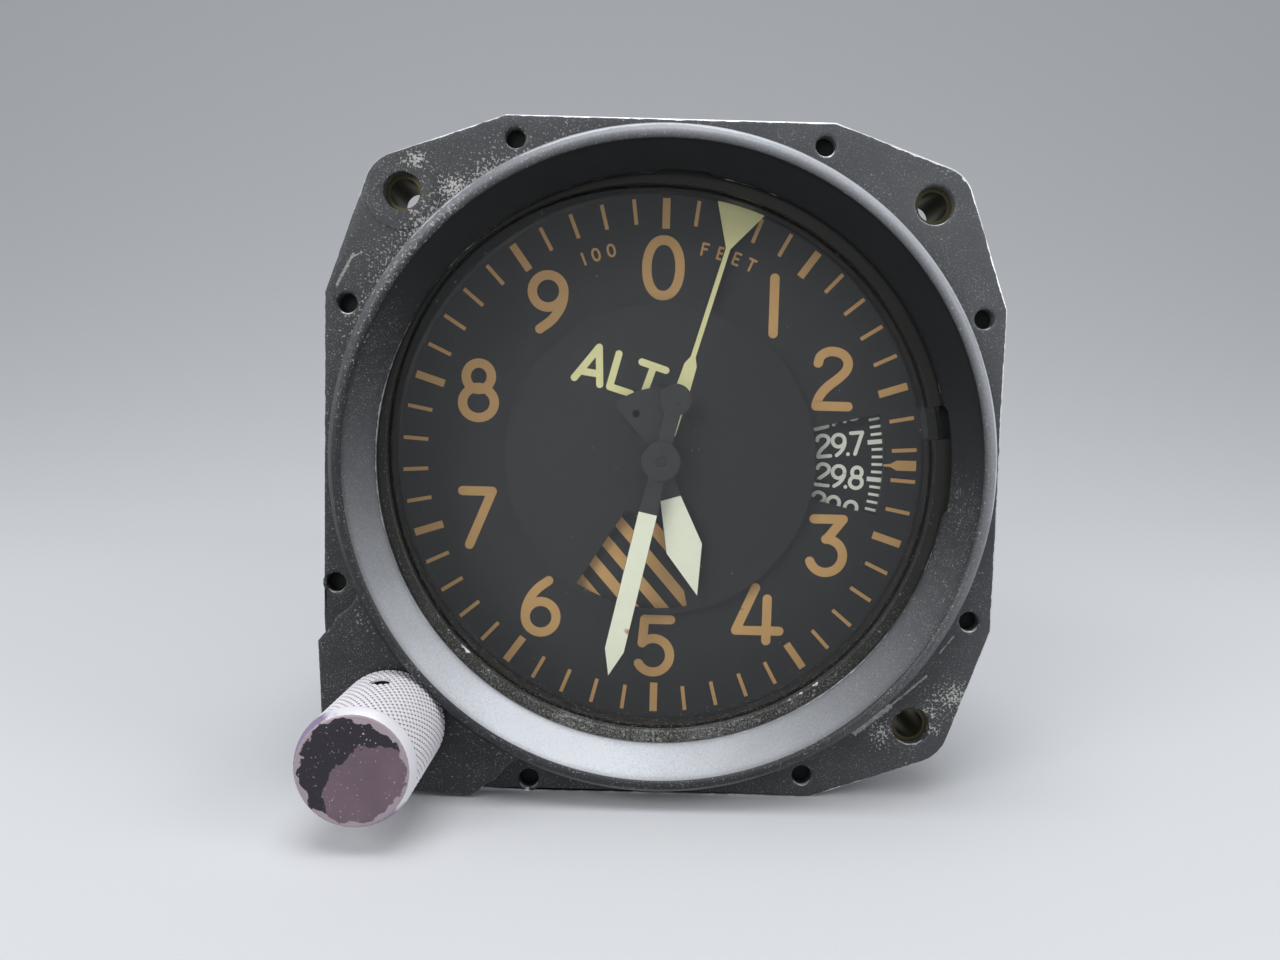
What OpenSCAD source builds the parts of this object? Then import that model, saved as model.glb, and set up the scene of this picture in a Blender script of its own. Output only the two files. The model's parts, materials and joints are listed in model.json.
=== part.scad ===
// Encoding altimeter for a 3-1/8 inch panel hole, in millimetres.
// Origin on the dial's axis in the flange's front face. The dial faces -Y and +Z is up.
// Depths along Y are counted from the flange's front face, positive towards the rear.
// Clock angles run clockwise from 12, as someone who reads the dial sees them.

/* [Flange and bezel] */
// Outer radius of the ring, which fills the panel hole
ring_r = 39.6; // [39.3:0.05:39.9]
// How far the square flange reaches beyond the ring on each side
flange_beyond = 1.05; // [0.95:0.05:1.6]
// Thickness of the bezel's flange
flange_t = 5; // [4.6:0.1:6]
// Length of each corner's cut along the flange's sides
corner_cut = 21.25; // [20:0.05:22]
// Radius of the rounded tip round each mounting hole
corner_tip_r = 4.7; // [4.4:0.1:5.4]
// How far the circle of the mounting holes lies beyond the ring
mount_beyond = 4.85; // [4.6:0.05:5.1]
// Radius of the mounting holes' mouths
mount_mouth_r = 2.28; // [2:0.01:2.5]
// Depth of the mouths, down to the inserts
mount_mouth_d = 1.2; // [0.8:0.1:2]
// Height of the ring in front of the flange
ring_h = 5.5; // [4.5:0.1:6.5]
// How far the ring's crest lies within its base
crest_inset = 2.6; // [2.2:0.1:3]
// Width of the rounded crest
crest_w = 1.2; // [0.8:0.1:1.6]
// Straight length of the ring's side, where it fills the panel hole
ring_land = 1.2; // [0.8:0.1:2]
// How far the opening in front of the glass lies within the ring's base
aperture_inset = 5.2; // [4.8:0.05:5.4]
// Radius of the knob's rounded corner
boss_r = 8.6; // [8.2:0.1:9]
// Height of the raised pad at the knob's corner
pad_h = 2.5; // [1.5:0.1:3]
// How far the circle of the case screws lies beyond the ring
screw_beyond = 2.5; // [2.4:0.05:2.6]
// Radius of the tapped case screw holes
screw_hole_r = 1.18; // [1.1:0.01:1.3]

/* [Glass and dial] */
// Depth of the snap ring's groove
snap_y = 0.6; // [0.4:0.1:0.9]
// Thickness of the snap ring
snap_t = 1; // [0.8:0.05:1.2]
// How far the snap ring covers the glass
snap_cover = 1.4; // [1:0.1:1.8]
// Depth of the groove into the wall
groove_d = 1.1; // [0.8:0.05:1.3]
// Thickness of the cover glass
glass_t = 2.4; // [2:0.1:2.8]
// Thickness of the glass gasket
gasket_t = 0.5; // [0.3:0.05:0.7]
// Width of the ledge that the glass sits on
ledge_w = 1.2; // [0.9:0.1:1.6]
// Thickness of that ledge
ledge_t = 1.8; // [1.4:0.1:2.2]
// Wall of the spacer ring behind the ledge
spacer_wall = 1; // [0.7:0.05:1.2]
// Depth of the dial's face
dial_y = 13; // [12.6:0.1:13.8]
// Thickness of the dial
dial_t = 0.8; // [0.6:0.05:1.2]
// Inner radius of the barometric window
window_r0 = 20.6; // [20:0.1:21.5]
// Outer radius of the barometric window
window_r1 = 30; // [28.8:0.1:30.2]
// Half angle of the barometric window
window_half = 13.2; // [11:0.1:15]
// Radius of the dial's three feet
foot_r = 1.2; // [0.9:0.1:1.3]

/* [Case] */
// How far the case's outside lies within the ring's base
case_inset = 0.7; // [0.5:0.05:0.9]
// Wall of the case
case_wall = 1.6; // [1.4:0.05:1.8]
// Thickness of the case's flange
case_flange_t = 3; // [2.5:0.1:4]
// Length of the case behind the encoder board
rear_space = 22; // [21:0.5:30]
// Width of the rim that takes the rear cover's screws
rim_w = 4.4; // [4:0.1:5]
// Length of that rim
rim_len = 8; // [6.5:0.5:9]
// Thickness of the rear cover
cover_t = 3.5; // [3:0.1:5]
// Thickness of the rear gasket
rear_gasket_t = 0.6; // [0.4:0.05:1]
// Depth of the groove for the case gasket
seal_d = 0.8; // [0.5:0.05:1]

/* [Knob and setting train] */
// Radius of the setting knob
knob_r = 6.45; // [6.2:0.05:6.7]
// Length of the setting knob
knob_len = 15; // [12:0.1:18]
// Gap between the pad and the knob
knob_gap = 0.5; // [0.3:0.1:1]
// Length of the knob's smooth front chamfer
knob_chamfer = 1; // [0.6:0.1:1.5]
// Radius of the knob shaft
shaft_r = 1.59; // [1.4:0.01:1.7]
// Outer radius of the knob shaft's bush
bush_r = 3.5; // [3.2:0.1:3.8]
// How far the knob's axis lies beyond the ring
knob_beyond = 4.9; // [4.9:0.05:4.9]
// Teeth of the pinion on the knob shaft
setting_pinion_z = 16; // [16:1:16]
// Teeth of the first idler
idler1_z = 24; // [24:1:24]
// Teeth of the second idler
idler2_z = 18; // [18:1:18]
// Teeth of the wheel on the barometric disc
setting_wheel_z = 78; // [78:1:78]
// Thickness of the setting train's wheels
setting_t = 1; // [0.8:0.05:1.2]
// Clearance between the barometric disc and the dial's feet
disc_clear = 1.5; // [1:0.1:2]
// Thickness of the barometric disc
disc_t = 0.8; // [0.6:0.05:1]
// Gap between the dial's back and the barometric disc
disc_gap = 1; // [0.6:0.1:1.2]

/* [Pointers] */
// Altitude at rest in feet
rest_ft = 4534; // [4534:1:4534]
// Thickness of the pointers
blade_t = 0.4; // [0.3:0.05:0.5]
// Gap from the dial to the 10,000-foot pointer's disc
hand_gap = 1; // [0.9:0.05:1.2]
// Step in depth from one pointer to the next
hand_step = 2; // [1.9:0.05:2.2]
// Length of the 100-foot pointer
hand100_len = 28.7; // [27:0.1:30]
// Half width of the 100-foot pointer
hand100_w = 1.29; // [1:0.01:1.5]
// Distance of the 100-foot pointer's tail disc
tail_len = 8.1; // [7:0.1:9]
// Radius of that tail disc
tail_r = 2.05; // [1.6:0.05:2.4]
// Length of the 1,000-foot pointer
hand1000_len = 18.45; // [17:0.05:19.5]
// Half width of the 1,000-foot pointer
hand1000_w = 2.45; // [2:0.05:3]
// Radius of the 1,000-foot pointer's fan-shaped tail
fan_r = 9.5; // [8.5:0.1:10.5]
// Radius of the 10,000-foot pointer's disc
alt_disc_r = 20.6; // [20.4:0.1:22]
// How far the rim triangle's base reaches behind the bezel
rim_tip_beyond = 0.5; // [0.1:0.05:0.7]
// Height of the rim triangle
rim_tip_h = 6.2; // [5.4:0.1:6.8]
// Half width of the rim triangle
rim_tip_w = 3.5; // [3:0.1:4]

/* [Movement] */
// Thickness of the movement's plates
plate_t = 2; // [1.6:0.1:2.4]
// Gap between the front and the middle plate
motion_gap = 10; // [9.6:0.1:11]
// Gap between the middle and the rear plate
train_gap = 29; // [28.6:0.1:30]
// Radius of the main arbor
arbor_r = 0.6; // [0.5:0.01:0.65]
// Wall of the pipes that carry the pointers
pipe_wall = 0.4; // [0.35:0.01:0.45]
// Module of the motion works
motion_m = 0.4; // [0.38:0.01:0.42]
// Module of the encoder's gears
encoder_m = 0.3; // [0.28:0.01:0.31]
// Thickness of the movement's wheels
wheel_t = 0.8; // [0.6:0.05:1]
// Radius of the plates' four pillars
pillar_r = 2.2; // [1.8:0.1:2.4]

/* [Aneroid] */
// Height of the rocking shaft above the dial's axis
rocker_z = 12; // [11.5:0.1:12.5]
// Length of the rocking shaft's arm
rocker_arm = 6; // [5.7:0.05:6.3]
// Radius of the capsules
capsule_r = 17; // [15:0.1:17.5]
// Height of one capsule at rest
capsule_h = 7; // [6:0.1:7.1]
// Number of capsules in the stack
capsules = 3; // [2:1:3]
// Gap between the rear plate and the capsules
capsule_gap = 17; // [16.5:0.1:20]

/* [Encoder] */
// Radius of the encoder disc
code_r = 15; // [14:0.1:16]
// Thickness of the encoder disc
code_t = 1; // [0.8:0.05:1.2]
// Gap between the encoder disc and its reading head
code_gap = 0.6; // [0.4:0.05:0.8]
// Clearance between the encoder board and the case's rear rim
board_clear = 0.9; // [0.5:0.1:2]
// Gap between the capsules' bracket and the encoder board
board_gap = 5.5; // [5:0.5:12]
// Thickness of the encoder board
board_t = 1.6; // [1.2:0.1:2]

/* [Fits] */
// Radial clearance of turning shafts
run_gap = 0.05; // [0.02:0.01:0.08]
// Radial clearance of pieces that are fitted and don't turn
fit_gap = 0.05; // [0.02:0.01:0.1]
// Radial clearance between the case's bore and what slides into it
case_gap = 0.1; // [0.05:0.01:0.2]
// Clearance of moving faces that pass one another
face_gap = 0.3; // [0.2:0.05:0.4]

/* [Hidden] */
$fn = 64;
eps = 0.01;
through = 0.5;

// Front of the case
half_w = ring_r + flange_beyond;
flange_flat = half_w - corner_cut;
mount_pitch = (ring_r + mount_beyond) / sqrt(2);
screw_circle_r = ring_r + screw_beyond;
crest_r = ring_r - crest_inset;
aperture_r = ring_r - aperture_inset;
snap_r = aperture_r - snap_cover;
ledge_r = aperture_r - ledge_w;
pad_reach = 5.05;
pad_pocket_r = 3.4;
pad_curve_r = 4;
glass_y = snap_y + snap_t + 0.2;
glass_gasket_y = glass_y + glass_t;
ledge_y = glass_gasket_y + gasket_t;
spacer_y = ledge_y + ledge_t;
spigot_end = spacer_y + 1.1;
case_y = flange_t;
case_r = ring_r - case_inset;
case_bore = case_r - case_wall;
case_flange_end = case_y + case_flange_t;
fitted_r = case_bore - case_gap;
spacer_r = fitted_r - 0.6;
insert_r = 2.9;
insert_bore_r = 1.75;
insert_head_r = 3.9;
insert_head_t = 1;
insert_end = case_flange_end + insert_head_t;
screw_head_r = 1.4;
screw_head_t = 1.5;
screw_inset = 1.4;
knob_clock = 225;
beside_knob = 23.6;
case_screw_angles = [25.7, 64.3, 115.7, 154.3, knob_clock - beside_knob, knob_clock + beside_knob, 295.7,
    334.3];
pad_half_w = screw_circle_r * sin(beside_knob) - pad_pocket_r + 1.4;
notch_clock0 = -2.4;
notch_clock1 = 8.7;
snap_clock0 = 75.6;
snap_clock1 = 82.6;

// Knob and setting train: pinion, two idlers and the disc's wheel lie in one line to the knob's corner
knob_d = ring_r + knob_beyond;
setting_m = knob_d / (setting_wheel_z / 2 + idler2_z + idler1_z + setting_pinion_z / 2);
setting_pinion_r = setting_m * setting_pinion_z / 2;
idler1_r = setting_m * idler1_z / 2;
idler2_r = setting_m * idler2_z / 2;
setting_wheel_r = setting_m * setting_wheel_z / 2;
idler2_d = setting_wheel_r + idler2_r;
idler1_d = idler2_d + idler2_r + idler1_r;
knob_base_y = -pad_h - knob_gap;
knob_front_y = knob_base_y - knob_len;
knob_face_r = knob_r - 0.85;
knob_bore_len = knob_len - 4;
set_screw_y = knob_base_y - 4.8;
set_screw_r = 1.15;
disc_y = dial_y + dial_t + disc_gap;
setting_y = disc_y + disc_t + 0.4;
disc_hub_r = 6;
disc_bore_r = 4;
disc_hub_end = setting_y + setting_t + 1.2;
front_plate_y = disc_hub_end + 0.8;
stud_r = 1;
pocket_gap = 0.6;
pocket_end = setting_y + setting_t + 1.2;
boss_wall = 1.5;
boss_end = pocket_end + 2.4;
shaft_end = pocket_end + 1.6;
bush_flange_r = 4.4;
bush_flange_t = 1;
seal_y = 2;
seal_len = 1.6;

// Pointers, from the dial forwards
alt_disc_y = dial_y - hand_gap - blade_t;
hand1000_y = alt_disc_y - hand_step;
hand100_y = hand1000_y - hand_step;
hub_half = 0.5;
hub_r = 2.5;
pipe1000_bore = arbor_r + run_gap;
pipe1000_r = pipe1000_bore + pipe_wall;
pipe10000_bore = pipe1000_r + run_gap;
pipe10000_r = pipe10000_bore + pipe_wall + 0.05;
lume_start = 6.9;
fan_half = 24;
hand1000_start = 5.1;
hand1000_widest = 11.9;
fan_hole_d = 6.9;
fan_hole_clock = 168;
cut_out_r = 8;
cut_out_clock0 = 151.7;
cut_out_clock1 = 196.3;
rim_tip_r = aperture_r + rim_tip_beyond;
clock_100 = (rest_ft % 1000) * 0.36;
clock_1000 = (rest_ft % 10000) * 0.036;
clock_10000 = rest_ft * 0.0036;

// Movement plates
front_plate_end = front_plate_y + plate_t;
middle_plate_y = front_plate_end + motion_gap;
middle_plate_end = middle_plate_y + plate_t;
rear_plate_y = middle_plate_end + train_gap;
rear_plate_end = rear_plate_y + plate_t;
middle_plate_r = fitted_r - 1;
middle_open_d = middle_plate_r - 10.2;
middle_open_r = 8;
rear_open_x = middle_open_d - 2;
pillar_d = fitted_r - 4.7;
pillar_clocks = [45, 135, 210, 315];
lug_clocks = [0, 100, 260];
lug_r = case_bore - 2.5;
lug_len = 6;
foot_clocks = [30, 150, 300];
foot_d = fitted_r - 3;
disc_r = foot_d - foot_r - disc_clear;

// Motion works: 12 into 40, then 13 into 39, which is 10 to 1, made twice
motion_clock_a = 90;
motion_clock_b = 270;
motion_step = motion_gap / 5;
pipe10000_wheel_y = front_plate_end + 0.8 * motion_step;
motion_pinion1_z = 12;
motion_wheel1_z = 40;
motion_pinion2_z = 13;
motion_wheel2_z = 39;
motion_d = motion_m * (motion_pinion1_z + motion_wheel1_z) / 2;
set_b_wheel_y = pipe10000_wheel_y + motion_step;
pipe1000_wheel_y = set_b_wheel_y + motion_step;
set_a_wheel_y = pipe1000_wheel_y + motion_step;
motion_arbor_r = 0.6;

// Aneroid train: sector 168 into 12, then wheel 144 into 12, which is 168 to 1
train_m = round(case_bore * 5.9) / 1000;
train_pinion_z = 12;
train_wheel_z = 144;
sector_z = 168;
main_d = train_m * (train_wheel_z + train_pinion_z) / 2;
sector_d = train_m * (sector_z + train_pinion_z) / 2;
rocker_x = rocker_arm;
rocker_d = sqrt(rocker_x * rocker_x + rocker_z * rocker_z);
inter_angle = atan2(rocker_z, rocker_x)
    - acos((main_d * main_d + rocker_d * rocker_d - sector_d * sector_d) / (2 * main_d * rocker_d));
inter_x = main_d * cos(inter_angle);
inter_z = main_d * sin(inter_angle);
sector_angle = atan2(inter_z - rocker_z, inter_x - rocker_x);
low_ft = -1000;
high_ft = 20000;
turns_ratio = sector_z / train_pinion_z * train_wheel_z / train_pinion_z;
sector_low = (low_ft - rest_ft) * 0.36 / turns_ratio;
sector_high = (high_ft - rest_ft) * 0.36 / turns_ratio;
sector_mid = (sector_low + sector_high) / 2;
sector_margin = 4.5;
train_step = train_gap / 29;
inter_wheel_y = middle_plate_end + 7 * train_step;
sector_y = inter_wheel_y + 8 * train_step;
hairspring_y = sector_y + 4 * train_step;
encoder_gear_y = hairspring_y + 4.5 * train_step;
inter_arbor_r = 0.7;
rocker_r = 1.2;
spring_turns = 5;
spring_r0 = 2.6;
spring_pitch = 0.75;
spring_w = 0.25;
spring_t = 1.2;
spring_stud_r = 0.6;

// Capsules and their arm
stack_y = rear_plate_end + capsule_gap + capsule_r;
arm_t = 1.2;
pin_r = 0.5;
pin_gap = 0.12;
rest_angle = -sector_mid;
bracket_floor_z = 4.3 - case_bore;
bracket_floor_t = 2;
bracket_wall_t = 2;
bracket_half_w = 12;
bracket_wall_y = stack_y + capsule_r + 1.5;
stack_base_z = bracket_floor_z + bracket_floor_t;
capsule_base_h = 7;
stack_top_z = stack_base_z + capsule_base_h + capsules * capsule_h;
arm_pin_x = rocker_x - rocker_arm * cos(rest_angle);
arm_pin_z = rocker_z + rocker_arm * sin(rest_angle);
link_w = 1.6;
link_low_z = stack_top_z + 2.2;

// Encoder
encoder_pinion_z = 30;
encoder_wheel_z = 60;
encoder_d = encoder_m * (encoder_pinion_z + encoder_wheel_z) / 2;
encoder_angle = 207.5;
encoder_x = inter_x + encoder_d * cos(encoder_angle);
encoder_z = inter_z + encoder_d * sin(encoder_angle);
encoder_arbor_r = 1;
encoder_bush_r = 2.2;
encoder_bush_y = rear_plate_y - 2;
code_stand = 6;
code_y = rear_plate_end + code_stand;
code_hub_r = 3.5;
head_half_h = 5;
head_r0 = 7.5;
head_r1 = code_r + 3;
head_t = 5.2;
board_y = bracket_wall_y + bracket_wall_t + board_gap;
board_r = case_bore - rim_w - board_clear;
standoff_r = 2.2;
standoff_d = board_r - 6;
standoff_clocks = [45, 135, 225, 315];

// Rear
case_end = board_y + rear_space;
cover_y = case_end + rear_gasket_t;
cover_end = cover_y + cover_t;
rim_r = case_bore - rim_w;
rear_screw_d = case_bore - rim_w / 2 + 0.3;
rear_screw_r = 1.2;
rear_screw_count = 6;
port_inset = 14;
port_z = board_r - port_inset;
port_r = 8;
port_len = 12;
port_bore_r = 4.3;
port_bore_len = 10;
plug_inset = 18;
plug_z = plug_inset - board_r;
plug_half_w = 12.5;
plug_half_h = 4.2;
plug_rise = 5.8;
plug_plate_w = 19.6;
plug_plate_h = 6.25;
jack_pitch = 33.3;
jack_bore_r = 1.42;
jack_r = 2.9;
jack_len = 5;

// Points at clock angle c and distance d from the dial's axis, as seen from the front
function at_clock(d, c) = [d * sin(c), d * cos(c)];
function arc_points(r, a0, a1, steps) = [for (i = [0:steps]) r * [cos(a0 + (a1 - a0) * i / steps),
    sin(a0 + (a1 - a0) * i / steps)]];

// Phase of a wheel's tooth so that it meshes with a wheel of phase p1 and n1 teeth towards angle a
function mesh_phase(p1, n1, n2, a) = a + 180 + (a - p1) * n1 / n2 + 180 / n2;

// Tooth outline: root and tip half widths in shares of the pitch, heights in modules
tooth_root_w = 0.29;
tooth_tip_w = 0.12;
addendum = 0.8;
dedendum = 1.1;
function tip_r(z, m) = m * (z / 2 + addendum);
function root_r(z, m) = m * (z / 2 - dedendum);
function tooth_points(z, m, phase, first, last) = [
    for (i = [first:last])
        for (side = [[-tooth_root_w, 0], [-tooth_tip_w, 1], [tooth_tip_w, 1], [tooth_root_w, 0]])
            let (a = phase + (i + side[0]) * 360 / z)
            let (r = side[1] == 1 ? tip_r(z, m) : root_r(z, m))
            [r * cos(a), r * sin(a)]
];

// Drum along Y from y0 to y1
module drum(r, y0, y1, at = [0, 0]) {
    translate([at[0], y0, at[1]])
        rotate([-90, 0, 0])
            cylinder(r = r, h = y1 - y0);
}

// Ring along Y from y0 to y1
module tube(r, bore, y0, y1, at = [0, 0]) {
    difference() {
        drum(r, y0, y1, at);
        drum(bore, y0 - through, y1 + through, at);
    }
}

// Sheet from a drawing seen from the front, from y0 to y0 + t
module sheet(y0, t) {
    translate([0, y0 + t, 0])
        rotate([90, 0, 0])
            linear_extrude(height = t)
                children();
}

// Turned piece from a profile of radius and depth
module turned(at = [0, 0]) {
    translate([at[0], 0, at[1]])
        rotate([-90, 0, 0])
            rotate_extrude()
                children();
}

// Drawing of a ring's sector between two clock angles
module sector_2d(r0, r1, clock0, clock1, steps = 24) {
    polygon(concat(
        arc_points(r1, 90 - clock0, 90 - clock1, steps),
        arc_points(r0, 90 - clock1, 90 - clock0, steps)
    ));
}

module wheel_2d(z, m, phase) {
    polygon(tooth_points(z, m, phase, 0, z - 1));
}

// Toothed wheel with a bore, and with round openings where it has spokes, in shares of its root radius
open_d = 0.63;
open_r = 0.2;
module wheel(z, m, y0, t, at, phase, bore, holes = 0) {
    difference() {
        translate([at[0], 0, at[1]])
            sheet(y0, t)
                wheel_2d(z, m, phase);
        drum(bore, y0 - through, y0 + t + through, at);
        if (holes > 0) {
            for (i = [1:holes]) {
                drum(open_r * root_r(z, m), y0 - through, y0 + t + through,
                    at + at_clock(open_d * root_r(z, m), i * 360 / holes));
            }
        }
    }
}

// One corner of the flange, turned clockwise: straight side, slanted side, rounded tip, slanted side
function spun(p, a) = [p[0] * cos(a) - p[1] * sin(a), p[0] * sin(a) + p[1] * cos(a)];
function corner_points(d, r, turn) =
    let (away = [flange_flat - d, half_w - d])
    let (reach = atan2(away[1], away[0]) - acos(r / norm(away)))
    let (tip = [for (p = arc_points(r, reach, 90 - reach, 20)) p + [d, d]])
    [for (p = concat([[flange_flat, half_w]], tip, [[half_w, flange_flat]])) spun(p, -turn)];

module flange_outline_2d() {
    polygon(concat(
        corner_points(mount_pitch, corner_tip_r, 0),
        corner_points(mount_pitch, corner_tip_r, 90),
        corner_points(knob_d / sqrt(2), boss_r, 180),
        corner_points(mount_pitch, corner_tip_r, 270)
    ));
}

// Raised pad at the knob's corner, cut back round the two case screw holes beside it
module pad_2d() {
    difference() {
        intersection() {
            flange_outline_2d();
            rotate(-knob_clock)
                translate([-pad_half_w, half_w - pad_reach])
                    square([2 * pad_half_w, half_w]);
        }
        for (side = [-1, 1]) {
            rotate(-knob_clock - side * beside_knob)
                translate([0, screw_circle_r])
                    circle(r = pad_pocket_r);
            rotate(-knob_clock - side * (beside_knob - 1.7))
                translate([0, screw_circle_r + pad_curve_r])
                    circle(r = pad_curve_r);
        }
        circle(r = ring_r - 1);
    }
}

// Ring in front of the flange: straight land, convex flank, rounded crest and inner cone
module ring_profile_2d() {
    crest_y = -ring_h + crest_w / 2;
    flank = [for (i = [0:8]) let (s = i / 8) [
        ring_r - (ring_r - crest_r - crest_w / 2) * (s * s * 0.7 + s * 0.3),
        -ring_land - (ring_h - crest_w / 2 - ring_land) * s
    ]];
    crest = [for (i = [1:7]) [crest_r + crest_w / 2 * cos(i * 22.5), crest_y - crest_w / 2 * sin(i * 22.5)]];
    polygon(concat(
        [[aperture_r - 0.6, eps], [ring_r, eps]],
        flank,
        crest,
        [[crest_r - crest_w / 2, crest_y], [aperture_r, 0], [aperture_r - 0.6, 0]]
    ));
}

module case_screw_places() {
    for (a = case_screw_angles) {
        translate([at_clock(screw_circle_r, a)[0], 0, at_clock(screw_circle_r, a)[1]])
            children();
    }
}

module mount_places() {
    for (side = [[-1, 1], [1, 1], [1, -1]]) {
        translate([side[0] * mount_pitch, 0, side[1] * mount_pitch])
            children();
    }
}

knob_at = at_clock(knob_d, knob_clock);
idler1_at = at_clock(idler1_d, knob_clock);
idler2_at = at_clock(idler2_d, knob_clock);
set_a_at = at_clock(motion_d, motion_clock_a);
set_b_at = at_clock(motion_d, motion_clock_b);
inter_at = [inter_x, inter_z];
rocker_at = [rocker_x, rocker_z];
encoder_at = [encoder_x, encoder_z];

// Case, front

module bezel() {
    color([0.16, 0.16, 0.17])
        difference() {
            union() {
                sheet(0, flange_t)
                    flange_outline_2d();
                turned()
                    ring_profile_2d();
                sheet(-pad_h, pad_h + eps)
                    pad_2d();
                drum(fitted_r, flange_t - eps, spigot_end);
            }
            drum(aperture_r, -eps, glass_gasket_y + gasket_t);
            drum(aperture_r + groove_d, snap_y, snap_y + snap_t + 0.1);
            drum(ledge_r, ledge_y - through, spacer_y + through);
            drum(spacer_r + fit_gap, spacer_y, spigot_end + through);
            sheet(-0.6, 0.6 + snap_y + eps)
                sector_2d(aperture_r - 1, aperture_r + groove_d - 0.2, notch_clock0, notch_clock1);
            case_screw_places()
                drum(screw_hole_r, -pad_h - through, flange_t + through);
            mount_places()
                drum(mount_mouth_r, -through, flange_t);
            mount_places()
                drum(insert_r + fit_gap, mount_mouth_d, flange_t + through);
            drum(bush_r + fit_gap, -pad_h - through, flange_t + through, knob_at);
            drum(bush_flange_r + fit_gap, flange_t - bush_flange_t, flange_t + through, knob_at);
            drum(knob_r + 0.5, -ring_h - through, -pad_h, knob_at);
        }
}

module mount_inserts() {
    color([0.72, 0.58, 0.3])
        mount_places()
            difference() {
                union() {
                    drum(insert_r, mount_mouth_d, insert_end);
                    drum(insert_head_r, case_flange_end, insert_end);
                }
                drum(insert_bore_r, mount_mouth_d - through, insert_end + through);
            }
}

module case_shell() {
    color([0.2, 0.2, 0.21])
        difference() {
            union() {
                sheet(case_y, case_flange_t)
                    flange_outline_2d();
                tube(case_r, case_bore - eps, case_y, case_end);
                drum(setting_pinion_r + pocket_gap + boss_wall + 1, case_y, boss_end, knob_at);
                drum(idler1_r + pocket_gap + boss_wall + 1, case_y, boss_end, idler1_at);
                intersection() {
                    drum(case_bore + eps, front_plate_end, front_plate_end + lug_len);
                    for (a = lug_clocks) {
                        drum(3.2, front_plate_end, front_plate_end + lug_len, at_clock(lug_r + 1.2, a));
                    }
                }
                tube(case_bore + eps, rim_r, case_end - rim_len, case_end);
            }
            difference() {
                drum(case_bore, case_y - through, case_end + through);
                for (a = lug_clocks) {
                    drum(3.2, front_plate_end, front_plate_end + lug_len, at_clock(lug_r + 1.2, a));
                }
                tube(case_bore + 2, rim_r, case_end - rim_len, case_end + 2 * through);
            }
            drum(tip_r(setting_pinion_z, setting_m) + pocket_gap, case_y - through, pocket_end, knob_at);
            drum(tip_r(idler1_z, setting_m) + pocket_gap, case_y - through, pocket_end, idler1_at);
            drum(shaft_r + run_gap, pocket_end - eps, shaft_end + 0.3, knob_at);
            difference() {
                drum(fitted_r + case_gap + 1.3, case_y - through, case_y + seal_d);
                drum(fitted_r + case_gap - through, case_y - 2 * through, case_y + 2 * seal_d);
            }
            case_screw_places()
                drum(screw_hole_r + 0.15, case_y - through, case_flange_end + through);
            mount_places()
                drum(insert_r + fit_gap, case_y - through, case_flange_end + through);
            for (a = lug_clocks) {
                drum(0.9, front_plate_end - through, front_plate_end + lug_len - 1, at_clock(lug_r, a));
            }
            for (i = [1:rear_screw_count]) {
                drum(0.95, case_end - rim_len + 1.5, case_end + through, at_clock(rear_screw_d,
                    i * 360 / rear_screw_count));
            }
        }
}

module case_screws() {
    color([0.55, 0.55, 0.56])
        case_screw_places()
            difference() {
                union() {
                    drum(screw_hole_r - fit_gap, screw_inset, case_flange_end + eps);
                    drum(screw_head_r, case_flange_end, case_flange_end + screw_head_t);
                }
                translate([-0.25, case_flange_end + screw_head_t - 0.6, -screw_head_r - 0.1])
                    cube([0.5, 1, 2 * screw_head_r + 0.2]);
            }
}

module case_gasket() {
    color([0.1, 0.1, 0.1])
        tube(fitted_r + case_gap + 1.25, fitted_r + case_gap + 0.05, case_y, case_y + seal_d);
}

module cover_glass() {
    color([0.85, 0.9, 0.92, 0.3])
        drum(aperture_r - fit_gap, glass_y, glass_gasket_y);
}

module glass_gasket() {
    color([0.08, 0.08, 0.08])
        tube(aperture_r - fit_gap, ledge_r, glass_gasket_y, ledge_y);
}

module snap_ring() {
    color([0.13, 0.13, 0.13])
        difference() {
            tube(aperture_r + groove_d - 0.15, snap_r, snap_y, snap_y + snap_t);
            sheet(snap_y - through, snap_t + 2 * through)
                sector_2d(snap_r - 1, aperture_r + groove_d + 1, snap_clock0, snap_clock1, 4);
        }
}

module spacer_ring() {
    color([0.08, 0.08, 0.08])
        difference() {
            tube(spacer_r, spacer_r - spacer_wall, spacer_y, dial_y);
            sheet(spacer_y - through, through + 1.2)
                sector_2d(spacer_r - spacer_wall - 1, spacer_r + 1, notch_clock0, notch_clock1);
        }
}

module dial_plate() {
    color([0.05, 0.05, 0.055])
        difference() {
            union() {
                drum(fitted_r, dial_y, dial_y + dial_t);
                for (a = foot_clocks) {
                    drum(foot_r, dial_y + dial_t - eps, front_plate_y, at_clock(foot_d, a));
                }
            }
            drum(disc_bore_r - 0.5, dial_y - through, dial_y + dial_t + through);
            sheet(dial_y - through, dial_t + 2 * through)
                sector_2d(window_r0, window_r1, 90 - window_half, 90 + window_half);
        }
}

// Case, rear

module rear_cover() {
    color([0.2, 0.2, 0.21])
        difference() {
            drum(case_r, cover_y, cover_end);
            for (i = [1:rear_screw_count]) {
                drum(rear_screw_r + fit_gap, cover_y - through, cover_end + through,
                    at_clock(rear_screw_d, i * 360 / rear_screw_count));
            }
            drum(5 + fit_gap, cover_y - through, cover_end + through, [0, port_z]);
            translate([-plug_half_w + 0.6, cover_y - through, plug_z - plug_half_h + 0.6])
                cube([2 * plug_half_w - 1.2, cover_t + 2 * through, 2 * plug_half_h - 1.2]);
            for (side = [-1, 1]) {
                drum(jack_bore_r + 0.2, cover_y - through, cover_end + through, [side * jack_pitch / 2,
                    plug_z]);
            }
            for (a = standoff_clocks) {
                drum(0.9, cover_y - through, cover_y + 2, at_clock(standoff_d, a));
            }
        }
}

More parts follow.
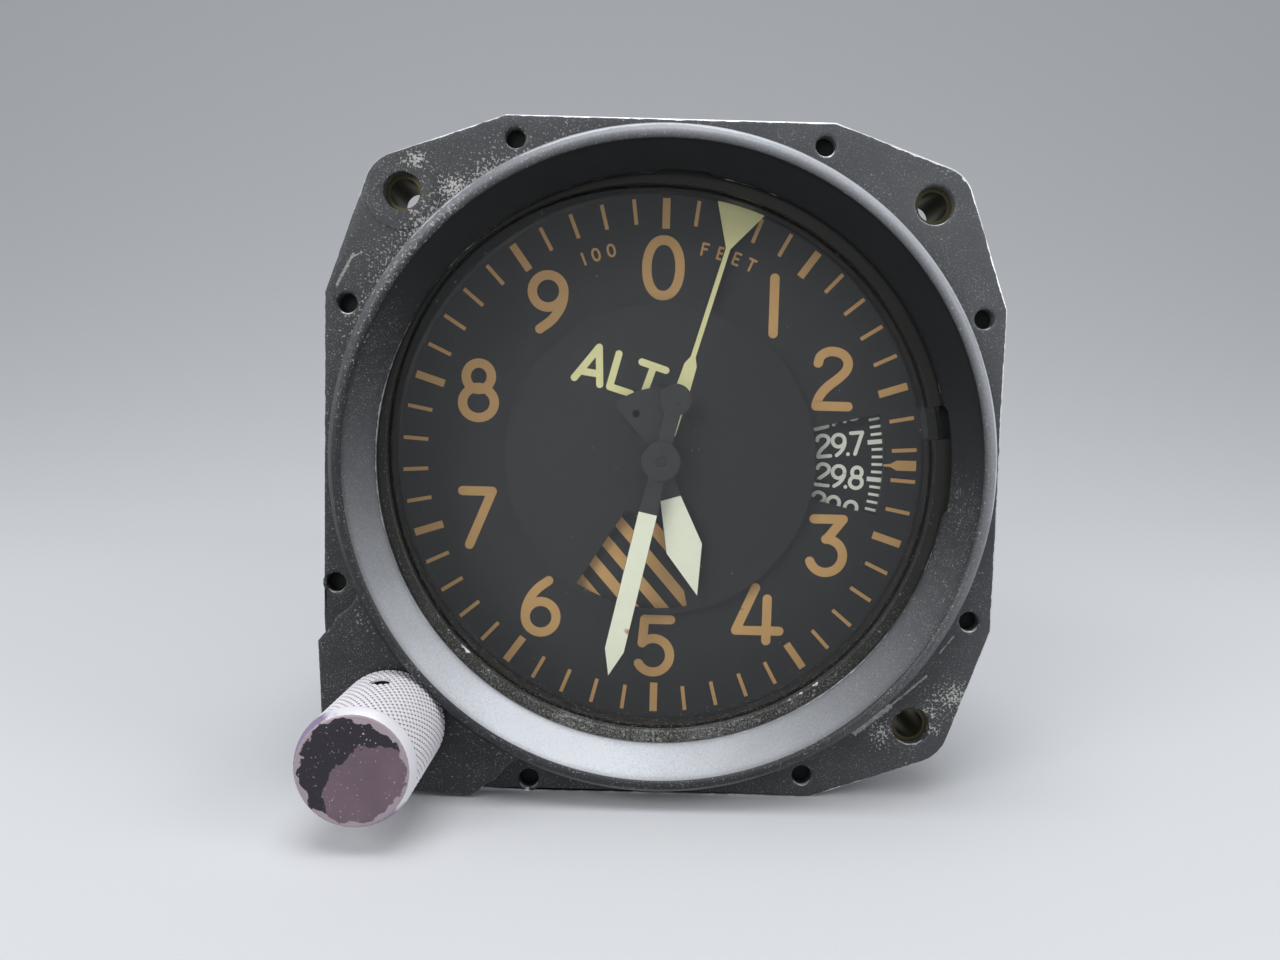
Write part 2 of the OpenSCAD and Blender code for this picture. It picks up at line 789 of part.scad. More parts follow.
module rear_gasket() {
    color([0.1, 0.1, 0.1])
        difference() {
            tube(case_r - 0.3, rim_r, case_end, cover_y);
            for (i = [1:rear_screw_count]) {
                drum(rear_screw_r, case_end - through, cover_y + through, at_clock(rear_screw_d,
                    i * 360 / rear_screw_count));
            }
        }
}

module rear_screws() {
    color([0.6, 0.6, 0.6])
        for (i = [1:rear_screw_count]) {
            place = at_clock(rear_screw_d, i * 360 / rear_screw_count);
            difference() {
                union() {
                    drum(0.9, case_end - rim_len + 2, cover_end, place);
                    drum(2, cover_end, cover_end + 1.5, place);
                }
                translate([place[0] - 0.25, cover_end + 0.9, place[1] - 2.1])
                    cube([0.5, 1, 4.2]);
            }
        }
}

module static_port() {
    color([0.7, 0.7, 0.7])
        difference() {
            union() {
                drum(5, cover_y - 2, cover_end, [0, port_z]);
                drum(6.5, cover_y - 2, cover_y, [0, port_z]);
                translate([0, cover_end, port_z])
                    rotate([-90, 0, 0])
                        cylinder(r = port_r, h = port_len - 4, $fn = 6);
                drum(port_r - 1.4, cover_end, cover_end + port_len, [0, port_z]);
            }
            drum(port_bore_r, cover_end + port_len - port_bore_len, cover_end + port_len + through, [0,
                port_z]);
            drum(1.5, cover_y - 2 - through, cover_end + port_len, [0, port_z]);
        }
}

// Drawing of the connector's D shape, wider at the top
module plug_2d(grow) {
    polygon([
        [-plug_half_w - grow, plug_half_h + grow], [plug_half_w + grow, plug_half_h + grow],
        [plug_half_w - 1.6 + grow, -plug_half_h - grow], [-plug_half_w + 1.6 - grow, -plug_half_h - grow]
    ]);
}

module connector_shell() {
    color([0.75, 0.74, 0.68])
        difference() {
            union() {
                translate([-plug_plate_w, cover_end, plug_z - plug_plate_h])
                    cube([2 * plug_plate_w, 1, 2 * plug_plate_h]);
                translate([0, 0, plug_z])
                    sheet(cover_end + 1 - eps, plug_rise)
                        plug_2d(0);
            }
            translate([0, 0, plug_z])
                sheet(cover_end - through, plug_rise + 2 + through)
                    plug_2d(-0.5);
            for (side = [-1, 1]) {
                drum(jack_bore_r + 0.2, cover_end - through, cover_end + 1 + through,
                    [side * jack_pitch / 2, plug_z]);
            }
        }
}

module connector_insert() {
    color([0.1, 0.1, 0.12])
        difference() {
            union() {
                translate([0, 0, plug_z])
                    sheet(cover_end, plug_rise)
                        plug_2d(-0.6);
                translate([-plug_half_w - 0.8, cover_y - 2, plug_z - plug_half_h - 0.8])
                    cube([2 * plug_half_w + 1.6, 2, 2 * plug_half_h + 1.6]);
                translate([-plug_half_w + 2.3, cover_y - 5, plug_z - plug_half_h + 1.2])
                    cube([2 * plug_half_w - 4.6, cover_t + 5.5, 2 * plug_half_h - 2.4]);
            }
            for (i = [0:7]) {
                drum(0.6, cover_end + plug_rise - 4, cover_end + plug_rise + through, [(i - 3.5) * 2.74,
                    plug_z + 1.42]);
            }
            for (i = [0:6]) {
                drum(0.6, cover_end + plug_rise - 4, cover_end + plug_rise + through, [(i - 3) * 2.74,
                    plug_z - 1.42]);
            }
        }
}

module jackposts() {
    color([0.72, 0.72, 0.7])
        for (side = [-1, 1]) {
            difference() {
                union() {
                    translate([side * jack_pitch / 2, cover_end + 1, plug_z])
                        rotate([-90, 0, 0])
                            cylinder(r = jack_r, h = jack_len, $fn = 6);
                    drum(jack_bore_r, cover_y - 3, cover_end + 1 + eps, [side * jack_pitch / 2, plug_z]);
                }
                drum(jack_bore_r, cover_end + 1.5, cover_end + 1 + jack_len + through,
                    [side * jack_pitch / 2, plug_z]);
            }
        }
}

// Movement frame

module front_plate() {
    color([0.78, 0.66, 0.38])
        difference() {
            drum(fitted_r, front_plate_y, front_plate_end);
            drum(disc_bore_r + 0.05, front_plate_y - through, front_plate_end + through);
            for (a = lug_clocks) {
                drum(1.1, front_plate_y - through, front_plate_end + through, at_clock(lug_r, a));
            }
            for (a = pillar_clocks) {
                drum(1.1, front_plate_y - through, front_plate_end + through, at_clock(pillar_d, a));
            }
            for (place = [set_a_at, set_b_at]) {
                drum(1.5 + fit_gap, front_plate_y - through, front_plate_end + through, place);
            }
            for (place = [idler1_at, idler2_at]) {
                drum(stud_r + fit_gap, front_plate_y - through, front_plate_end + through, place);
            }
        }
}

module frame_screws() {
    color([0.62, 0.62, 0.62]) {
        for (a = lug_clocks) {
            drum(0.85, front_plate_y - 0.5, front_plate_end + lug_len - 1.5, at_clock(lug_r, a));
            drum(1.7, front_plate_y - 1, front_plate_y, at_clock(lug_r, a));
        }
        for (a = pillar_clocks) {
            drum(1, front_plate_y - 0.5, front_plate_end + 3, at_clock(pillar_d, a));
            drum(1.8, front_plate_y - 1, front_plate_y, at_clock(pillar_d, a));
            drum(1, rear_plate_y - 3, rear_plate_end + 0.5, at_clock(pillar_d, a));
            drum(1.8, rear_plate_end, rear_plate_end + 1, at_clock(pillar_d, a));
        }
    }
}

module middle_plate() {
    color([0.78, 0.66, 0.38])
        difference() {
            drum(middle_plate_r, middle_plate_y, middle_plate_end);
            for (a = [0, 90, 180, 270]) {
                drum(middle_open_r, middle_plate_y - through, middle_plate_end + through,
                    at_clock(middle_open_d, a));
            }
            for (a = pillar_clocks) {
                drum(pillar_r + fit_gap, middle_plate_y - through, middle_plate_end + through,
                    at_clock(pillar_d, a));
            }
            for (place = [set_a_at, set_b_at, inter_at]) {
                drum(1.5 + fit_gap, middle_plate_y - through, middle_plate_end + through, place);
            }
            drum(2, middle_plate_y - through, middle_plate_end + through);
            drum(2 + fit_gap, middle_plate_y - through, middle_plate_end + through, rocker_at);
        }
}

module rear_plate() {
    color([0.78, 0.66, 0.38])
        difference() {
            drum(fitted_r, rear_plate_y, rear_plate_end);
            for (a = pillar_clocks) {
                drum(1.1, rear_plate_y - through, rear_plate_end + through, at_clock(pillar_d, a));
            }
            drum(1.5 + fit_gap, rear_plate_y - through, rear_plate_end + through);
            drum(1.5 + fit_gap, rear_plate_y - through, rear_plate_end + through, inter_at);
            drum(3, rear_plate_y - through, rear_plate_end + through, rocker_at);
            drum(encoder_bush_r + fit_gap, rear_plate_y - through, rear_plate_end + through, encoder_at);
            for (place = [[-rear_open_x, 8], [-rear_open_x, -8]]) {
                drum(5, rear_plate_y - through, rear_plate_end + through, place);
            }
        }
}

module plate_pillars() {
    color([0.76, 0.64, 0.36])
        for (a = pillar_clocks) {
            difference() {
                drum(pillar_r, front_plate_end, rear_plate_y, at_clock(pillar_d, a));
                drum(1.05, front_plate_end - through, front_plate_end + 4, at_clock(pillar_d, a));
                drum(1.05, rear_plate_y - 4, rear_plate_y + through, at_clock(pillar_d, a));
            }
        }
}

module jewels() {
    color([0.8, 0.15, 0.3]) {
        for (place = [set_a_at, set_b_at]) {
            tube(1.5, motion_arbor_r + run_gap, front_plate_y + 0.2, front_plate_end, place);
            tube(1.5, motion_arbor_r + run_gap, middle_plate_y, middle_plate_end, place);
        }
        tube(1.5, arbor_r + run_gap, rear_plate_y, rear_plate_end);
        for (y = [middle_plate_y, rear_plate_y]) {
            tube(1.5, inter_arbor_r + run_gap, y, y + plate_t, inter_at);
        }
        tube(encoder_bush_r, encoder_arbor_r + run_gap, encoder_bush_y, code_y - 2 - face_gap, encoder_at);
        tube(2, rocker_r + run_gap, middle_plate_y, middle_plate_end, rocker_at);
    }
}

module disc_bearing() {
    color([0.76, 0.64, 0.36])
        difference() {
            union() {
                drum(disc_bore_r, disc_y - 0.5, front_plate_end + eps);
                drum(disc_bore_r + 1.5, front_plate_end, front_plate_end + 0.8);
            }
            drum(pipe10000_r + run_gap, disc_y - 1, front_plate_end + 2);
        }
}

// Knob and setting train

module setting_knob() {
    color([0.62, 0.58, 0.64])
        difference() {
            turned(knob_at)
                polygon([
                    [0, knob_front_y], [knob_face_r, knob_front_y], [knob_face_r + 0.35, knob_front_y + 0.12],
                    [knob_r, knob_front_y + knob_chamfer], [knob_r, knob_base_y - 0.5],
                    [knob_r - 0.5, knob_base_y], [0, knob_base_y]
                ]);
            drum(shaft_r + fit_gap, knob_base_y - knob_bore_len, knob_base_y + through, knob_at);
            translate([knob_at[0], set_screw_y, knob_at[1]])
                cylinder(r = set_screw_r + fit_gap, h = knob_r + through);
        }
}

module knob_set_screw() {
    color([0.3, 0.3, 0.3])
        translate([knob_at[0], set_screw_y, knob_at[1] + shaft_r])
            difference() {
                cylinder(r = set_screw_r, h = knob_r - shaft_r - 1.3);
                translate([0, 0, knob_r - shaft_r - 2.8])
                    cylinder(r = 0.6, h = 2, $fn = 6);
            }
}

module knob_shaft() {
    color([0.7, 0.7, 0.7])
        drum(shaft_r, knob_base_y - knob_bore_len + 0.3, shaft_end, knob_at);
}

module knob_bush() {
    color([0.74, 0.6, 0.33])
        difference() {
            union() {
                drum(bush_r, -pad_h, flange_t, knob_at);
                drum(bush_flange_r, flange_t - bush_flange_t, flange_t, knob_at);
            }
            drum(shaft_r + run_gap, -pad_h - through, flange_t + through, knob_at);
            drum(shaft_r + 0.9, seal_y, seal_y + seal_len, knob_at);
        }
}

module shaft_seal() {
    color([0.08, 0.08, 0.08])
        tube(shaft_r + 0.85, shaft_r + run_gap, seal_y + 0.1, seal_y + seal_len - 0.1, knob_at);
}

setting_pinion_phase = 45;
idler1_phase = mesh_phase(setting_pinion_phase, setting_pinion_z, idler1_z, 45);
idler2_phase = mesh_phase(idler1_phase, idler1_z, idler2_z, 45);
setting_wheel_phase = mesh_phase(idler2_phase, idler2_z, setting_wheel_z, 45);

module setting_pinion() {
    color([0.8, 0.68, 0.36])
        difference() {
            union() {
                translate([knob_at[0], 0, knob_at[1]])
                    sheet(setting_y, setting_t)
                        wheel_2d(setting_pinion_z, setting_m, setting_pinion_phase);
                drum(2.8, setting_y - 2.5, setting_y + eps, knob_at);
            }
            drum(shaft_r + 0.01, setting_y - 3, setting_y + setting_t + through, knob_at);
        }
}

module idler_gear_1() {
    color([0.8, 0.68, 0.36])
        wheel(idler1_z, setting_m, setting_y, setting_t, idler1_at, idler1_phase, stud_r + run_gap, 6);
}

module idler_gear_2() {
    color([0.8, 0.68, 0.36])
        wheel(idler2_z, setting_m, setting_y, setting_t, idler2_at, idler2_phase, stud_r + run_gap);
}

module idler_studs() {
    color([0.65, 0.65, 0.65])
        for (place = [idler1_at, idler2_at]) {
            drum(stud_r, setting_y - face_gap, front_plate_end, place);
            drum(stud_r + 0.6, setting_y + setting_t + face_gap, front_plate_y, place);
        }
}

module setting_wheel() {
    color([0.8, 0.68, 0.36])
        difference() {
            union() {
                wheel(setting_wheel_z, setting_m, setting_y, setting_t, [0, 0], setting_wheel_phase,
                    disc_hub_r - 1, 6);
                drum(disc_hub_r, disc_y + disc_t, disc_hub_end);
            }
            drum(disc_bore_r + run_gap, disc_y - through, disc_hub_end + through);
        }
}

module baro_disc() {
    color([0.06, 0.06, 0.065])
        tube(disc_r, disc_bore_r + run_gap, disc_y, disc_y + disc_t);
}

// Pointers, drawn upright and turned to their clock angle

module turned_to(clock) {
    rotate([0, clock, 0])
        children();
}

module pointer_100() {
    color([0.86, 0.87, 0.8])
        turned_to(clock_100)
            difference() {
                union() {
                    sheet(hand100_y, blade_t)
                        polygon([
                            [-1.1, -tail_len], [1.1, -tail_len], [0.85, 0], [hand100_w * 0.96, lume_start],
                            [hand100_w, hand100_len - 3.5], [0, hand100_len], [-hand100_w, hand100_len - 3.5],
                            [-hand100_w * 0.96, lume_start], [-0.85, 0]
                        ]);
                    drum(tail_r, hand100_y, hand100_y + blade_t, [0, -tail_len]);
                    drum(hub_r, hand100_y - hub_half, hand100_y + blade_t + hub_half);
                }
                drum(pipe1000_bore, hand100_y - 2, hand100_y + 2);
            }
}

module pointer_1000() {
    color([0.86, 0.87, 0.8])
        turned_to(clock_1000)
            difference() {
                union() {
                    sheet(hand1000_y, blade_t)
                        polygon([
                            [-1, 0], [1, 0], [1.4, hand1000_start], [hand1000_w, hand1000_widest], [0, hand1000_len],
                            [-hand1000_w, hand1000_widest], [-1.4, hand1000_start]
                        ]);
                    sheet(hand1000_y, blade_t)
                        sector_2d(0.2, fan_r, 180 - fan_half, 180 + fan_half, 12);
                    drum(hub_r, hand1000_y - hub_half, hand1000_y + blade_t + hub_half);
                }
                drum(pipe10000_bore, hand1000_y - 2, hand1000_y + 2);
                drum(0.5, hand1000_y - 1, hand1000_y + 1, at_clock(fan_hole_d, fan_hole_clock));
            }
}

module pointer_10000() {
    color([0.05, 0.05, 0.055])
        turned_to(clock_10000)
            difference() {
                union() {
                    drum(alt_disc_r, alt_disc_y, alt_disc_y + blade_t);
                    sheet(alt_disc_y, blade_t)
                        polygon([
                            [-0.45, alt_disc_r - 1], [0.45, alt_disc_r - 1], [0.45,
                                rim_tip_r - rim_tip_h + 1],
                            [rim_tip_w, rim_tip_r], [-rim_tip_w, rim_tip_r], [-0.45,
                                rim_tip_r - rim_tip_h + 1]
                        ]);
                    drum(hub_r + 0.4, alt_disc_y - hub_half, alt_disc_y + blade_t + hub_half);
                }
                sheet(alt_disc_y - 1, blade_t + 2)
                    sector_2d(cut_out_r, alt_disc_r - 0.7, cut_out_clock0, cut_out_clock1);
                drum(pipe10000_r + run_gap, alt_disc_y - 2, alt_disc_y + 3);
            }
}

// Movement: arbors, pipes and wheels

main_phase = 0;
inter_phase = mesh_phase(main_phase, train_pinion_z, train_wheel_z, inter_angle);
inter_pinion_phase = inter_phase;
sector_phase = mesh_phase(inter_pinion_phase, train_pinion_z, sector_z, sector_angle + 180) - 360;
encoder_phase = mesh_phase(inter_phase, encoder_pinion_z, encoder_wheel_z, encoder_angle);
cannon_phase = 0;
set_a_phase = mesh_phase(cannon_phase, motion_pinion1_z, motion_wheel1_z, 0);
pipe1000_phase = mesh_phase(set_a_phase, motion_pinion2_z, motion_wheel2_z, 180);
set_b_phase = mesh_phase(pipe1000_phase, motion_pinion1_z, motion_wheel1_z, 180);
pipe10000_phase = mesh_phase(set_b_phase, motion_pinion2_z, motion_wheel2_z, 0);

module main_arbor() {
    color([0.7, 0.7, 0.72]) {
        drum(arbor_r, hand100_y - hub_half, rear_plate_end - 0.2);
        difference() {
            sheet(inter_wheel_y - 1.2, wheel_t + 2.4)
                wheel_2d(train_pinion_z, train_m, main_phase);
            drum(arbor_r - 0.1, inter_wheel_y - 2, inter_wheel_y + wheel_t + 2);
        }
    }
}

module cannon_pinion() {
    color([0.7, 0.7, 0.72])
        difference() {
            union() {
                sheet(set_a_wheel_y - 0.2, wheel_t + 0.4)
                    wheel_2d(motion_pinion1_z, motion_m, cannon_phase);
                drum(1.7, set_a_wheel_y + wheel_t, set_a_wheel_y + wheel_t + 1);
            }
            drum(arbor_r + 0.01, set_a_wheel_y - 1, set_a_wheel_y + wheel_t + 2);
        }
}

// Arbor with a wheel of 40 and, in front of it, a pinion of 13
module motion_set(wheel_y, pinion_y, at, phase) {
    color([0.8, 0.68, 0.36]) {
        wheel(motion_wheel1_z, motion_m, wheel_y, wheel_t, at, phase, motion_arbor_r - 0.1, 5);
        wheel(motion_pinion2_z, motion_m, pinion_y - 0.2, wheel_t + 0.4, at, phase, motion_arbor_r - 0.1);
        drum(motion_arbor_r, front_plate_y + 0.4, middle_plate_end - 0.2, at);
        drum(1.3, pinion_y + wheel_t + 0.2 - eps, wheel_y + eps, at);
    }
}

module motion_set_a() {
    motion_set(set_a_wheel_y, pipe1000_wheel_y, set_a_at, set_a_phase);
}

module motion_set_b() {
    motion_set(set_b_wheel_y, pipe10000_wheel_y, set_b_at, set_b_phase);
}

module pipe_1000() {
    color([0.8, 0.68, 0.36])
        difference() {
            union() {
                drum(pipe1000_r, hand1000_y - hub_half, pipe1000_wheel_y + wheel_t);
                wheel(motion_wheel2_z, motion_m, pipe1000_wheel_y, wheel_t, [0, 0], pipe1000_phase,
                    pipe1000_r - 0.3, 5);
                sheet(set_b_wheel_y - 0.2, wheel_t + 0.4)
                    wheel_2d(motion_pinion1_z, motion_m, pipe1000_phase);
            }
            drum(pipe1000_bore, hand1000_y - 2, pipe1000_wheel_y + 2);
        }
}

module pipe_10000() {
    color([0.8, 0.68, 0.36])
        difference() {
            union() {
                drum(pipe10000_r, alt_disc_y - hub_half, pipe10000_wheel_y + wheel_t);
                wheel(motion_wheel2_z, motion_m, pipe10000_wheel_y, wheel_t, [0, 0], pipe10000_phase,
                    pipe10000_r - 0.3, 5);
            }
            drum(pipe10000_bore, alt_disc_y - 2, pipe10000_wheel_y + 2);
        }
}

module intermediate_arbor() {
    color([0.7, 0.7, 0.72]) {
        drum(inter_arbor_r, middle_plate_y + 0.2, rear_plate_end - 0.2, inter_at);
        wheel(train_pinion_z, train_m, sector_y - 1, wheel_t + 2, inter_at, inter_pinion_phase,
            inter_arbor_r - 0.1);
        wheel(encoder_pinion_z, encoder_m, encoder_gear_y - 0.3, wheel_t + 0.6, inter_at, inter_phase,
            inter_arbor_r - 0.1);
        drum(1.9, inter_wheel_y - 1.2, inter_wheel_y, inter_at);
        drum(spring_r0 - spring_w / 2 - face_gap, hairspring_y, hairspring_y + spring_t, inter_at);
    }
}

module intermediate_wheel() {
    color([0.8, 0.68, 0.36])
        wheel(train_wheel_z, train_m, inter_wheel_y, wheel_t, inter_at, inter_phase, inter_arbor_r + 0.01, 6);
}

// Spiral strip from its collet outwards to its stud
function spiral_point(turn,
    offset) = let (r = spring_r0 + spring_pitch * turn + offset) r * [cos(360 * turn), sin(360 * turn)];
spring_steps = 24;
echo(hairspring_least_gap = spring_pitch - spring_w);

module hairspring() {
    color([0.45, 0.55, 0.75])
        translate([inter_at[0], 0, inter_at[1]]) {
            sheet(hairspring_y, spring_t)
                polygon(concat(
                    [for (i = [0:spring_turns * spring_steps]) spiral_point(i / spring_steps, spring_w / 2)],
                    [for (i = [spring_turns * spring_steps:-1:0]) spiral_point(i / spring_steps,
                        -spring_w / 2)]
                ));
            drum(spring_stud_r, hairspring_y + spring_t / 2, rear_plate_y, [spiral_point(spring_turns,
                0)[0] + spring_stud_r / 2, 0]);
        }
}

// Aneroid

module rocking_shaft() {
    color([0.7, 0.7, 0.72]) {
        drum(rocker_r, middle_plate_y + 0.3, bracket_wall_y + 1.8, rocker_at);
        drum(3, stack_y - 4, stack_y - arm_t / 2, rocker_at);
    }
}

module sector_gear() {
    first = floor((sector_angle + sector_low - sector_margin - sector_phase) * sector_z / 360);
    last = ceil((sector_angle + sector_high + sector_margin - sector_phase) * sector_z / 360);
    tip_a = sector_phase + (first - tooth_root_w) * 360 / sector_z;
    tip_b = sector_phase + (last + tooth_root_w) * 360 / sector_z;
    rim_in = root_r(sector_z, train_m) - 2;
    color([0.8, 0.68, 0.36])
        difference() {
            union() {
                translate([rocker_at[0], 0, rocker_at[1]])
                    sheet(sector_y, wheel_t)
                        union() {
                            difference() {
                                polygon(concat([[0, 0]], tooth_points(sector_z, train_m, sector_phase,
                                    first, last)));
                                polygon(concat(
                                    arc_points(rim_in, tip_a + 8, tip_b - 8, 12),
                                    arc_points(6, tip_b - 16, tip_a + 16, 6)
                                ));
                            }
                            circle(r = 3.4);
                        }
                drum(2.6, sector_y - 2, sector_y + wheel_t + 1, rocker_at);
            }
            drum(rocker_r + 0.01, sector_y - 3, sector_y + wheel_t + 2, rocker_at);
        }
}

module rocker_arm_strip() {
    color([0.78, 0.72, 0.5])
        difference() {
            union() {
                translate([rocker_at[0], 0, rocker_at[1]])
                    rotate([0, rest_angle, 0])
                        sheet(stack_y - arm_t / 2, arm_t)
                            union() {
                                translate([-rocker_arm, -0.9])
                                    square([rocker_arm, 1.8]);
                                translate([-rocker_arm, 0])
                                    circle(r = 1.1);
                                circle(r = rocker_r + 1.2);
                            }
                drum(pin_r, stack_y - 2.6, stack_y, [arm_pin_x, arm_pin_z]);
            }
            drum(rocker_r + 0.01, stack_y - 5, stack_y + 5, rocker_at);
        }
}

module capsule_bracket() {
    color([0.7, 0.7, 0.7])
        difference() {
            union() {
                translate([-bracket_half_w, rear_plate_end, bracket_floor_z])
                    cube([2 * bracket_half_w, bracket_wall_y + bracket_wall_t - rear_plate_end,
                        bracket_floor_t]);
                translate([-bracket_half_w, rear_plate_end, bracket_floor_z])
                    cube([2 * bracket_half_w, 2, 7]);
                translate([-2, bracket_wall_y, bracket_floor_z])
                    cube([bracket_half_w, bracket_wall_t, rocker_z - bracket_floor_z]);
                drum(4, bracket_wall_y, bracket_wall_y + bracket_wall_t, rocker_at);
            }
            drum(rocker_r + run_gap, bracket_wall_y - through, bracket_wall_y + bracket_wall_t + through,
                rocker_at);
        }
}

// Stack of capsules: each has two bulged discs on a thin rim, with a spacer between neighbours
module capsule_stack() {
    skin = capsule_h / 2 - 0.9;
    color([0.8, 0.78, 0.7])
        translate([0, stack_y, stack_base_z]) {
            cylinder(r = 5, h = capsule_base_h + eps);
            for (i = [0:capsules - 1]) {
                translate([0, 0, capsule_base_h + i * capsule_h])
                    rotate_extrude()
                        polygon(concat(
                            [[0, 0], [4, 0], [4, 0.6]],
                            [for (k = [1:9]) [4 + k * 1.2, 0.6 + 0.35 * (k % 2) + skin * k / 12]],
                            [[capsule_r, capsule_h / 2 - 0.4], [capsule_r, capsule_h / 2 + 0.4]],
                            [for (k = [9:-1:1]) [4 + k * 1.2,
                                capsule_h - 0.6 - 0.35 * (k % 2) - skin * k / 12]],
                            [[4, capsule_h - 0.6], [4, capsule_h], [0, capsule_h]]
                        ));
            }
        }
}

module capsule_stud() {
    color([0.72, 0.72, 0.7])
        difference() {
            union() {
                translate([0, stack_y, stack_top_z])
                    cylinder(r = 3, h = 1);
                translate([-1.6, stack_y - 1.6, stack_top_z])
                    cube([3.2, 3.2, 4]);
            }
            translate([-2, stack_y - 2.6, stack_top_z + 1])
                cube([4, 2, 4]);
            drum(pin_r, stack_y - 3, stack_y + 3, [0, link_low_z]);
        }
}

module link() {
    color([0.75, 0.75, 0.75])
        difference() {
            union() {
                translate([-link_w / 2, stack_y - 1.9, link_low_z])
                    cube([link_w, 1, arm_pin_z - link_low_z]);
                translate([-1.5, stack_y - 1.9, arm_pin_z - 1.4])
                    cube([3.4, 1, 2.8]);
                drum(1, stack_y - 1.9, stack_y - 0.9, [0, link_low_z]);
                drum(pin_r - 0.02, stack_y - 1.9, stack_y + 1.5, [0, link_low_z]);
            }
            translate([-pin_r - pin_gap - 0.1, stack_y - 3, arm_pin_z - pin_r - pin_gap])
                cube([2 * pin_r + 2 * pin_gap + 0.7, 3, 2 * (pin_r + pin_gap)]);
        }
}

// Encoder

module encoder_arbor() {
    color([0.7, 0.7, 0.72]) {
        drum(encoder_arbor_r, encoder_gear_y - 0.6, code_y + code_t + 2, encoder_at);
        wheel(encoder_wheel_z, encoder_m, encoder_gear_y, wheel_t, encoder_at, encoder_phase,
            encoder_arbor_r - 0.1, 6);
        drum(encoder_bush_r, encoder_gear_y + wheel_t - eps, encoder_bush_y - face_gap, encoder_at);
        drum(code_hub_r - 1, code_y - 2, code_y, encoder_at);
    }
}

module encoder_disc() {
    color([0.75, 0.75, 0.7, 0.6])
        difference() {
            drum(code_r, code_y, code_y + code_t, encoder_at);
            drum(encoder_arbor_r + 0.01, code_y - 1, code_y + code_t + 1, encoder_at);
        }
}

module light_block() {
    color([0.12, 0.12, 0.13])
        translate([encoder_x + head_r0, rear_plate_end, encoder_z - head_half_h])
            cube([head_r1 - head_r0, code_y - code_gap - rear_plate_end, 2 * head_half_h]);
}

module sensor_block() {
    color([0.15, 0.25, 0.18]) {
        translate([encoder_x + head_r0, code_y + code_t + code_gap, encoder_z - head_half_h])
            cube([head_r1 - head_r0, head_t, 2 * head_half_h]);
        translate([encoder_x + code_r + 0.8, code_y - code_gap, encoder_z - head_half_h])
            cube([head_r1 - code_r - 0.8, code_t + 3 * code_gap, 2 * head_half_h]);
    }
}

module encoder_board() {
    color([0.1, 0.35, 0.2]) {
        difference() {
            drum(board_r, board_y, board_y + board_t);
            for (a = standoff_clocks) {
                drum(1.1, board_y - through, board_y + board_t + through, at_clock(standoff_d, a));
            }
        }
    }
    color([0.1, 0.1, 0.1]) {
        for (row = [-1, 0, 1]) {
            translate([-board_r / 2, board_y - 3, row * 11 - 3])
                cube([14, 3 + eps, 6]);
            translate([3, board_y - 2, row * 11 - 2])
                cube([9, 2 + eps, 4]);
        }
        translate([0, board_y + board_t - eps, 8 - board_r])
            drum(3, 0, 8);
    }
}

module board_standoffs() {
    color([0.7, 0.7, 0.7])
        for (a = standoff_clocks) {
            drum(standoff_r, board_y + board_t, cover_y, at_clock(standoff_d, a));
            drum(1, board_y - 1, board_y + board_t + eps, at_clock(standoff_d, a));
            drum(1.9, board_y - 1.6, board_y, at_clock(standoff_d, a));
        }
}

bezel();
mount_inserts();
case_shell();
case_screws();
case_gasket();
cover_glass();
glass_gasket();
snap_ring();
spacer_ring();
dial_plate();
rear_cover();
rear_gasket();
rear_screws();
static_port();
connector_shell();
connector_insert();
jackposts();
front_plate();
frame_screws();
middle_plate();
rear_plate();
plate_pillars();
jewels();
disc_bearing();
setting_knob();
knob_set_screw();
knob_shaft();
knob_bush();
shaft_seal();
setting_pinion();
idler_gear_1();
idler_gear_2();
idler_studs();
setting_wheel();
baro_disc();
pointer_100();
pointer_1000();
pointer_10000();
main_arbor();
cannon_pinion();
motion_set_a();
motion_set_b();
pipe_1000();
pipe_10000();
intermediate_arbor();
intermediate_wheel();
hairspring();
rocking_shaft();
sector_gear();
rocker_arm_strip();
capsule_bracket();
capsule_stack();
capsule_stud();
link();
encoder_arbor();
encoder_disc();
light_block();
sensor_block();
encoder_board();
board_standoffs();
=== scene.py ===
# %% [markdown]
# # An encoding altimeter in Blender
# A panel altimeter is a black casting with a glass, three pointers over a printed dial, and a small
# window for the barometric scale. The solids come from a CAD model. This script gives them their
# finish and makes what CAD left plain: the worn casting, the knurled knob, the print on the dial, the
# lume on the pointers, and the grit behind the ring.

# %% Load the CAD frame
import json
import math

import bmesh
import bpy
import numpy as np
from mathutils import Euler, Matrix, Vector


